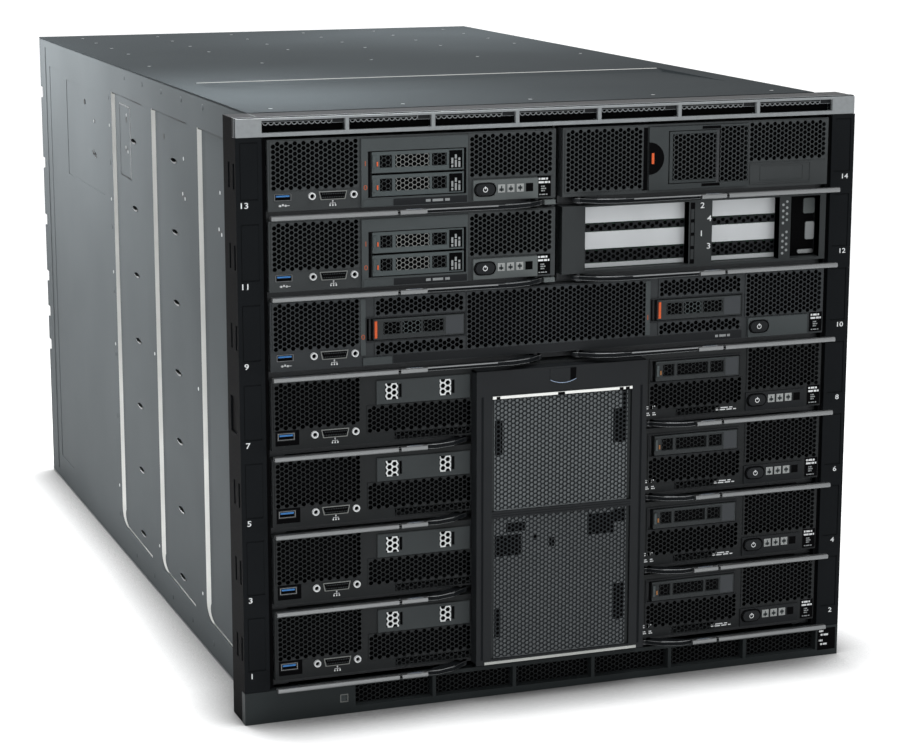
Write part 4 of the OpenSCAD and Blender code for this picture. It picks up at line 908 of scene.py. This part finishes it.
def lever(bay):
    """A cam lever: a long round-edged grip, a latch with a painted glint on its blue top, a thin arm with painted
    highlights on its top, and its eye.
    """
    node = f"lever_{bay}"
    lo, hi = span(node)
    side = -1 if bay % 2 else 1
    inner, tip = sorted((abs(lo.x), abs(hi.x)))
    eye = inner + 5  # centre of the eye
    y0, y1, z0, z1 = lo.y, lo.y + 5.5, lo.z, hi.z
    m = Maker()

    def slab(low, high, name, *points):
        """A flat piece from its outline's distances from the middle and depths."""
        m.extrude([(side * x, y) for x, y in points], low, high, name, axis="z")

    for a, b in ((tip, tip - 92), (tip - 94, tip - 114)):
        m.extrude(rounded(y0 + 0.1, y1, z0 + 0.1, z1 - 0.1, 1.5), *mirrored(side, a, b), "silver", axis="x")
    # painted glint on the blue top of the latch
    slab(z1 - 0.2, z1 + 0.25, "blue_glint", (tip - 98, y0 + 1.2), (tip - 101, y0 + 0.5), (tip - 108, y0 + 0.5),
         (tip - 111, y0 + 1.2), (tip - 108, y0 + 2.4), (tip - 101, y0 + 2.4))
    # painted shade: a black piece in the gap between the grip and the latch
    slab(z0 + 0.9, z1 - 0.9, "black", (tip - 90, y0 + 1.6), (tip - 90, y0 + 4.6), (tip - 96, y0 + 4.6),
         (tip - 96, y0 + 1.6))
    slab(z0 + 0.3, z1 - 0.4, "rail", (tip - 112, y1 - 1.6), (eye + 24, y0 + 2.2), (eye + 10, y0 + 6.0),
         (eye - 3.5, -1.6), (eye - 4.6, 2.4), (eye + 2, 5.6), (eye + 6, 0.5), (eye + 30, y1 + 1.2),
         (tip - 60, y1 + 1.0), (tip - 4, y1 + 0.6), (tip - 4, y1 - 1.2))
    m.extrude(circle(side * eye, hi.y - 5, 5, 28), z0 + 0.3, z1 - 0.4, "charcoal", axis="z")
    # painted highlight: a bright lens near the eye
    slab(z1 - 0.6, z1 - 0.15, "chrome", (eye + 30, y0 + 2.6), (eye + 20, y0 + 3.0), (eye + 9, y0 + 7.2),
         (eye + 8, y0 + 9.6), (eye + 17, y0 + 6.4), (eye + 30, y0 + 4.4))
    # painted highlight: a silver strip along the top of the arm
    slab(z1 - 1.2, z1 - 0.2, "silver", (tip - 114, y0 + 1.2), (eye + 36, y0 + 1.4), (eye + 36, y0 + 2.8),
         (tip - 114, y0 + 2.8))
    m.replace(node, "_handle", slot="lever_metal", soften=0.35)


def bridge_cover():
    """The cover over the four joined nodes: a frame with two finely perforated panels and a tab."""
    lo, hi = span("bridge_cover")
    y0 = lo.y + 1.2  # front of the cover's sheet
    bx, z0, z1 = hi.x, lo.z, hi.z
    back = GRILLE_Y - 0.3
    header, wx = z1 - 18.6, bx - 12.0  # upper edge and half width of the panels
    low, high = row_z(3) + 6, row_z(3) + 1  # lower edge of the upper panel and upper edge of the lower one
    m = Maker()
    panels = [(-wx, wx, z0 + 4, high), (-wx, wx, low, header)]
    m.plate(-bx, bx, z0, z1, y0, y0 + 1.5, "charcoal", panels)
    for side in (-1, 1):
        m.box(*mirrored(side, bx, bx - 1.5), y0 + 1, back, z0, z1, "charcoal")
        m.box(*mirrored(side, bx - 5.5, bx - 3.5), y0 - 0.25, y0 + 0.2, z0 + 4, header, "rail")
    for z in (z0, z1 - 1.5):
        m.box(-bx, bx, y0 + 1, back, z, z + 1.5, "charcoal")
    m.plate(-bx + 2, bx - 2, z0 + 2, z1 - 2, y0 + 3.4, y0 + 4.4, "charcoal", panels)
    # painted shade: the lower panel gets a darker copy of the upper panel's backing
    for (a, b, c, d), backing in zip(panels, ("backing_low", "backing")):
        m.comb(a + 2.6, b - 2.6, c + 1, d, y0 + 1.8, "mesh_web", thick=0.5, cell=3.4, hole=2.5, whole=False)
        m.mark(a + 2.6, b - 2.6, y0 + 2.3, y0 + 2.6, c, d, backing)
        m.mark(a, b, y0 + 2.6, y0 + 2.9, c, d, "dark_panel")
    for a, b, c, d in ((3 - wx, 9 - wx, low + 42, low + 68), (wx - 14, wx - 3, low + 44, low + 70),
                       (wx - 7, wx - 3, low + 70, low + 84), (3 - wx, 24 - wx, high - 30, high - 14),
                       (12 - wx, 27 - wx, high - 12, high - 5), (wx - 34, wx - 12, high - 20, high - 4),
                       (wx - 12, wx - 3, high - 12, high - 2), (-9, -5, high - 26, high - 19),
                       (-22, -19, high - 20, high - 15), (wx - 12, wx - 4, high - 88, high - 60),
                       (3 - wx, 8 - wx, high - 92, high - 70)):
        m.mark(a, b, y0 + 2.25, y0 + 2.4, c, d, "black")
    for row in range(1, 5):
        m.box(-30, 30, y0 + 4.2, GRILLE_Y + 5, row_z(row) + 20, row_z(row) + 32, "charcoal")
    # painted highlight along the lower edge of the header
    m.box(-wx, wx, y0 - 0.9, y0 + 0.2, header - 2.4, header, "pressed_edge")
    for x, half in ((4.5 - wx, 1.5), (54 - wx, 2.8), (wx - 9, 1.6), (wx - 4, 1.6)):
        m.box(x - half, x + half, y0 - 1.0, y0 + 0.2, header - 2.6, header - 0.4, "black")
    m.box(-bx + 6, bx - 6, y0 - 0.9, y0 + 0.2, z0 + 0.4, z0 + 2.8, "cover_edge")
    sag = [(10.4 * k / 6, z1 - 12.6 + 2.6 * (k / 6) ** 2) for k in range(-6, 7)]
    m.extrude([(-10.4, z1 - 1.5), *sag, (10.4, z1 - 1.5)], y0 - 0.3, y0 + 0.2, "charcoal")
    # painted shade: a black strip on the right inner wall of the tab's recess
    m.extrude([(5.6, z1 - 1.5), (5.6, z1 - 11.4), (10.0, z1 - 9.8), (10.4, z1 - 1.5)], y0 - 0.35, y0 - 0.2, "black",
              fine=True)
    # painted highlight: the lit lower wall of the tab's recess, in a bluish bright finish
    m.extrude([*sag, *[(x, z + 0.8) for x, z in reversed(sag)]], y0 - 0.9, y0, "blue_glint")
    for z in (high + 1.2, high + 3.0):
        m.box(-wx, wx, y0 - 0.15, y0 + 0.2, z, z + 0.7, "rail")
    m.replace("bridge_cover", "_panel")


# ---- Front frame ---------------------------------------------------------------------------


def vents(left, z0, z1):
    """The openings between the posts over or under the bays, from the left end to the common right one."""
    posts = [x for x in (POST_STEP * (i - 0.5) for i in range(-2, 4)) if left < x < VENT_END]
    edges = [left, *[v for x in posts for v in (x - POST_HALF, x + POST_HALF)], VENT_END]
    return [(a, b, z0, z1) for a, b in zip(edges[::2], edges[1::2])]


def top_bezel():
    """The light frame over the bays, with a scalloped honeycomb edge in its seven vents."""
    lo, hi = span("top_bezel")
    z0, z1 = lo.z + 2.7, hi.z - 2.5
    m = Maker()
    openings = vents(-VENT_END, z0, z1)
    m.plate(lo.x + 0.7, hi.x - 0.7, lo.z, hi.z - 0.8, 0, 2.4, "light_frame", openings)
    m.plate(lo.x, hi.x, lo.z, hi.z, 2.4, 7.9, "rail", openings)
    pitch = 4.2  # of the scallops
    for a, b, c, d in openings:
        count = int((b - a - 7) / pitch)
        for i in range(count):
            outer, inner = (circle(a + 1.4 + pitch * (i + 0.5), d - 1.6, r, 8, 180, 180)
                            for r in (pitch / 2, pitch / 2 - 0.55))
            m.extrude(outer + inner[::-1], 3.2, 3.9, "light_frame", fine=True)
        end = a + 1.4 + pitch * count
        m.box(a, end + 0.1, 3.3, 3.8, d - 1.6, d, "dark_panel")
        m.box(end, b, 3.3, 3.8, d - 3.4, d, "charcoal")
    # painted shade: a black sheet behind the vents
    m.box(-VENT_END, VENT_END, 7.6, 8.4, z0 - 0.5, z1 + 0.2, "black")
    m.box(-body_half(), body_half(), 7.9, hi.y, hi.z - 2.5, hi.z - 0.3, "rail")
    m.replace("top_bezel", "_frame", "chassis", "light_frame", 0.5)


def ears():
    """Fields, seams and bay numbers on the two ears."""
    outer, inner = (abs(corner.x) for corner in span("ear_left"))
    m = Maker()
    for side, shift, size in ((-1, 13.4, 5.8), (1, 11.6, 5.2)):
        for row in range(1, ROWS + 1):
            z = row_z(row)
            m.box(*mirrored(side, inner + 2.6, outer - 3.6), 0.25, 0.9, z + 15.5, z + PITCH - 3, "rail")
            m.box(*mirrored(side, inner + 0.2, outer - 0.2), -0.05, 0.3, z + 14.2, z + 14.5, "black")
            m.number(str(2 * row - (side < 0)), side * (inner + shift), z + 10.9, -0.04, size, "white")
        # painted shade: a black strip in the gap between an ear and the bays
        m.box(*mirrored(side, HALF_IN + 0.6, HALF_IN + 3.4), 2.5, 3.5, row_z(1), row_z(7) + PITCH, "black")
    m.make("ear_fields_and_numbers", "chassis", "charcoal_plastic", soften=0.15)


def bottom_bezel():
    """The dark frame under the bays: vents, a small indicator and a label with generic bars."""
    lo, hi = span("bottom_bezel")
    m = Maker()
    left, z0, z1 = -157.5, 5.2, 21.0
    openings = vents(left, z0, z1)
    a, b, c, d = square = (-169.2, -162.8, 8.8, 15.2)  # the indicator
    m.plate(lo.x, hi.x, lo.z, hi.z, 0, 8, "bezel_low", [*openings, square])
    for opening in openings:
        m.comb(*opening, 6.6, "grille_dark", whole=False)
    # painted shade: a black sheet behind the vents
    m.box(left, VENT_END, 8.0, 8.6, z0 - 0.5, z1 + 0.5, "black")
    m.plate(*square, 0.4, 3, "bright_web", [(a + 0.9, b - 0.9, c + 0.9, d - 0.9)])
    m.box(a + 0.5, b - 0.5, 1.4, 3, c + 0.5, d - 0.5, "plate")
    m.box(223.5, 239.5, -0.06, 0.2, 4.5, 22.5, "black")
    for x0, x1, z, words in ((225, 229.5, 18.6, 3), (226.4, 237.5, 15.6, 2), (225, 229, 11.0, 3), (226.4, 236, 8.0, 2)):
        bars(m, x0, x1, z, z + 2.6, -0.06, "white", 1, words)
    m.replace("bottom_bezel", "_frame", "chassis", "charcoal_plastic", 0.4)


dress_frame()
side_details(-1)
side_details(1)
top_details()
for row in (7, 6):
    half_node(row)
storage_node()
card_node()
cards()
wide_node()
for row in range(1, 5):
    quad_node(row)
for body, nodes in frame["record"]["behaviour"]["bodies"].items():
    for node in nodes:
        if node.startswith("drive_"):
            drive(node, body)
for bay in range(1, 2 * ROWS + 1):
    lever(bay)
bridge_cover()
top_bezel()
ears()
bottom_bezel()

# ---- Floor, light and camera ---------------------------------------------------------------

FLOOR_REACH = 12.0  # metres from the middle to the floor's edge
LAMP_TARGET = (0, 0, 0.22)  # the middle of the front


def seen_directly(tree):
    """1 for rays from the camera and for what gloss and glass show."""
    rays = wire(tree, "LightPath", {}).node.outputs
    value = rays["Is Camera Ray"]
    for ray in ("Is Glossy Ray", "Is Transmission Ray"):
        value = wire(tree, "Math", {0: value, 1: rays[ray]}, operation="MAXIMUM")
    return value


def floor():
    """A pale floor with a painted contact shadow: ambient occlusion darkens it where something stands on it."""
    white = bpy.data.materials.new("studio_white")
    white.use_nodes = True
    tree = white.node_tree
    tree.nodes.clear()
    near = wire(tree, "AmbientOcclusion", {"Distance": 0.06}, "AO", samples=8)
    depth = wire(tree, "Math", {0: near, 1: 2.0}, operation="POWER")
    painted_contact_shadow = wire(tree, "MixRGB", {"Fac": depth, "Color1": (0.02, 0.02, 0.02, 1), "Color2": (0.9, 0.9, 0.9, 1)})
    share = wire(tree, "Math", {0: seen_directly(tree), 1: 0.3}, operation="MULTIPLY")
    lift = wire(tree, "Emission", {"Strength": wire(tree, "Math", {0: share, 1: depth}, operation="MULTIPLY")})
    both = wire(tree, "AddShader", {0: wire(tree, "BsdfDiffuse", {"Color": painted_contact_shadow}), 1: lift})
    feed(tree, tree.nodes.new("ShaderNodeOutputMaterial"), {"Surface": both})
    mesh = bpy.data.meshes.new("floor")
    corners = [(x * FLOOR_REACH, y * FLOOR_REACH, 0) for x, y in ((-1, -1), (1, -1), (1, 1), (-1, 1))]
    mesh.from_pydata(corners, [], [(0, 1, 2, 3)])
    mesh.materials.append(white)
    ground = bpy.data.objects.new("floor", mesh)
    bpy.context.scene.collection.objects.link(ground)


def surroundings():
    """A world that lights softly and shows white."""
    world = bpy.data.worlds.new("studio")
    bpy.context.scene.world = world
    world.use_nodes = True
    tree = world.node_tree
    tree.nodes.clear()
    fill = wire(tree, "Background", {"Color": (0.95, 0.98, 1.0, 1), "Strength": 0.32})
    show = wire(tree, "Background", {"Color": (1, 1, 1, 1)})
    mix = wire(tree, "MixShader", {"Fac": seen_directly(tree), 1: fill, 2: show})
    feed(tree, tree.nodes.new("ShaderNodeOutputWorld"), {"Surface": mix})


def lamp(name, kind, place, power, target=LAMP_TARGET):
    """A lamp that shines at a target; only the front one shows in gloss."""
    light = bpy.data.lights.new(name, kind)
    light.energy = power
    holder = bpy.data.objects.new(name, light)
    holder.location = place
    holder.visible_camera, holder.visible_glossy = False, name == "front_key"
    holder.rotation_euler = (Vector(target) - Vector(place)).to_track_quat("-Z", "Y").to_euler()
    bpy.context.scene.collection.objects.link(holder)
    return light


def lamps():
    """A soft sun and the soft boxes; places and sizes are in metres."""
    lamp("soft_sun", "SUN", (0.8, -0.75, 3.0), 2.0).angle = math.radians(50)
    for name, place, power, target, size in (
            ("front_key", (-0.4, -2.6, 1.5), 12, (0, -0.4, 0.22), (1.8, 1.0)),
            ("left_edge", (-0.44, 0.28, 0.55), 4.4, (-0.22, 0.22, 0.25), (0.6, 0.12)),
            ("top_front", (-0.2, -0.26, 0.62), 2.6, (-0.14, -0.24, 0.44), (0.2, 0.12)),
            ("top_far", (0.16, 0.32, 0.7), 3.2, (0.14, 0.3, 0.44), (0.3, 0.12)),
            ("low_left", (-1.1, -1.0, 0.35), 0.8, (-0.22, -0.2, 0.1), (0.5, 0.3))):
        panel = lamp(name, "AREA", place, power, target)
        panel.shape, panel.size, panel.size_y = "RECTANGLE", *size


def camera():
    """The camera: its place, the direction it looks in and its lens."""
    turn, tilt, lens = 20.044, -12.033, 98.757
    data = bpy.data.cameras.new("camera")
    data.lens = lens
    data.clip_end = 50
    eye = bpy.data.objects.new("camera", data)
    bpy.context.scene.collection.objects.link(eye)
    eye.location = Vector((-0.68333, FRONT - 1.64367, 0.62021))
    eye.rotation_euler = (math.radians(90 + tilt), 0, math.radians(-turn))
    bpy.context.scene.camera = eye


floor()
surroundings()
lamps()
camera()
bpy.context.scene.view_settings.view_transform = "Standard"
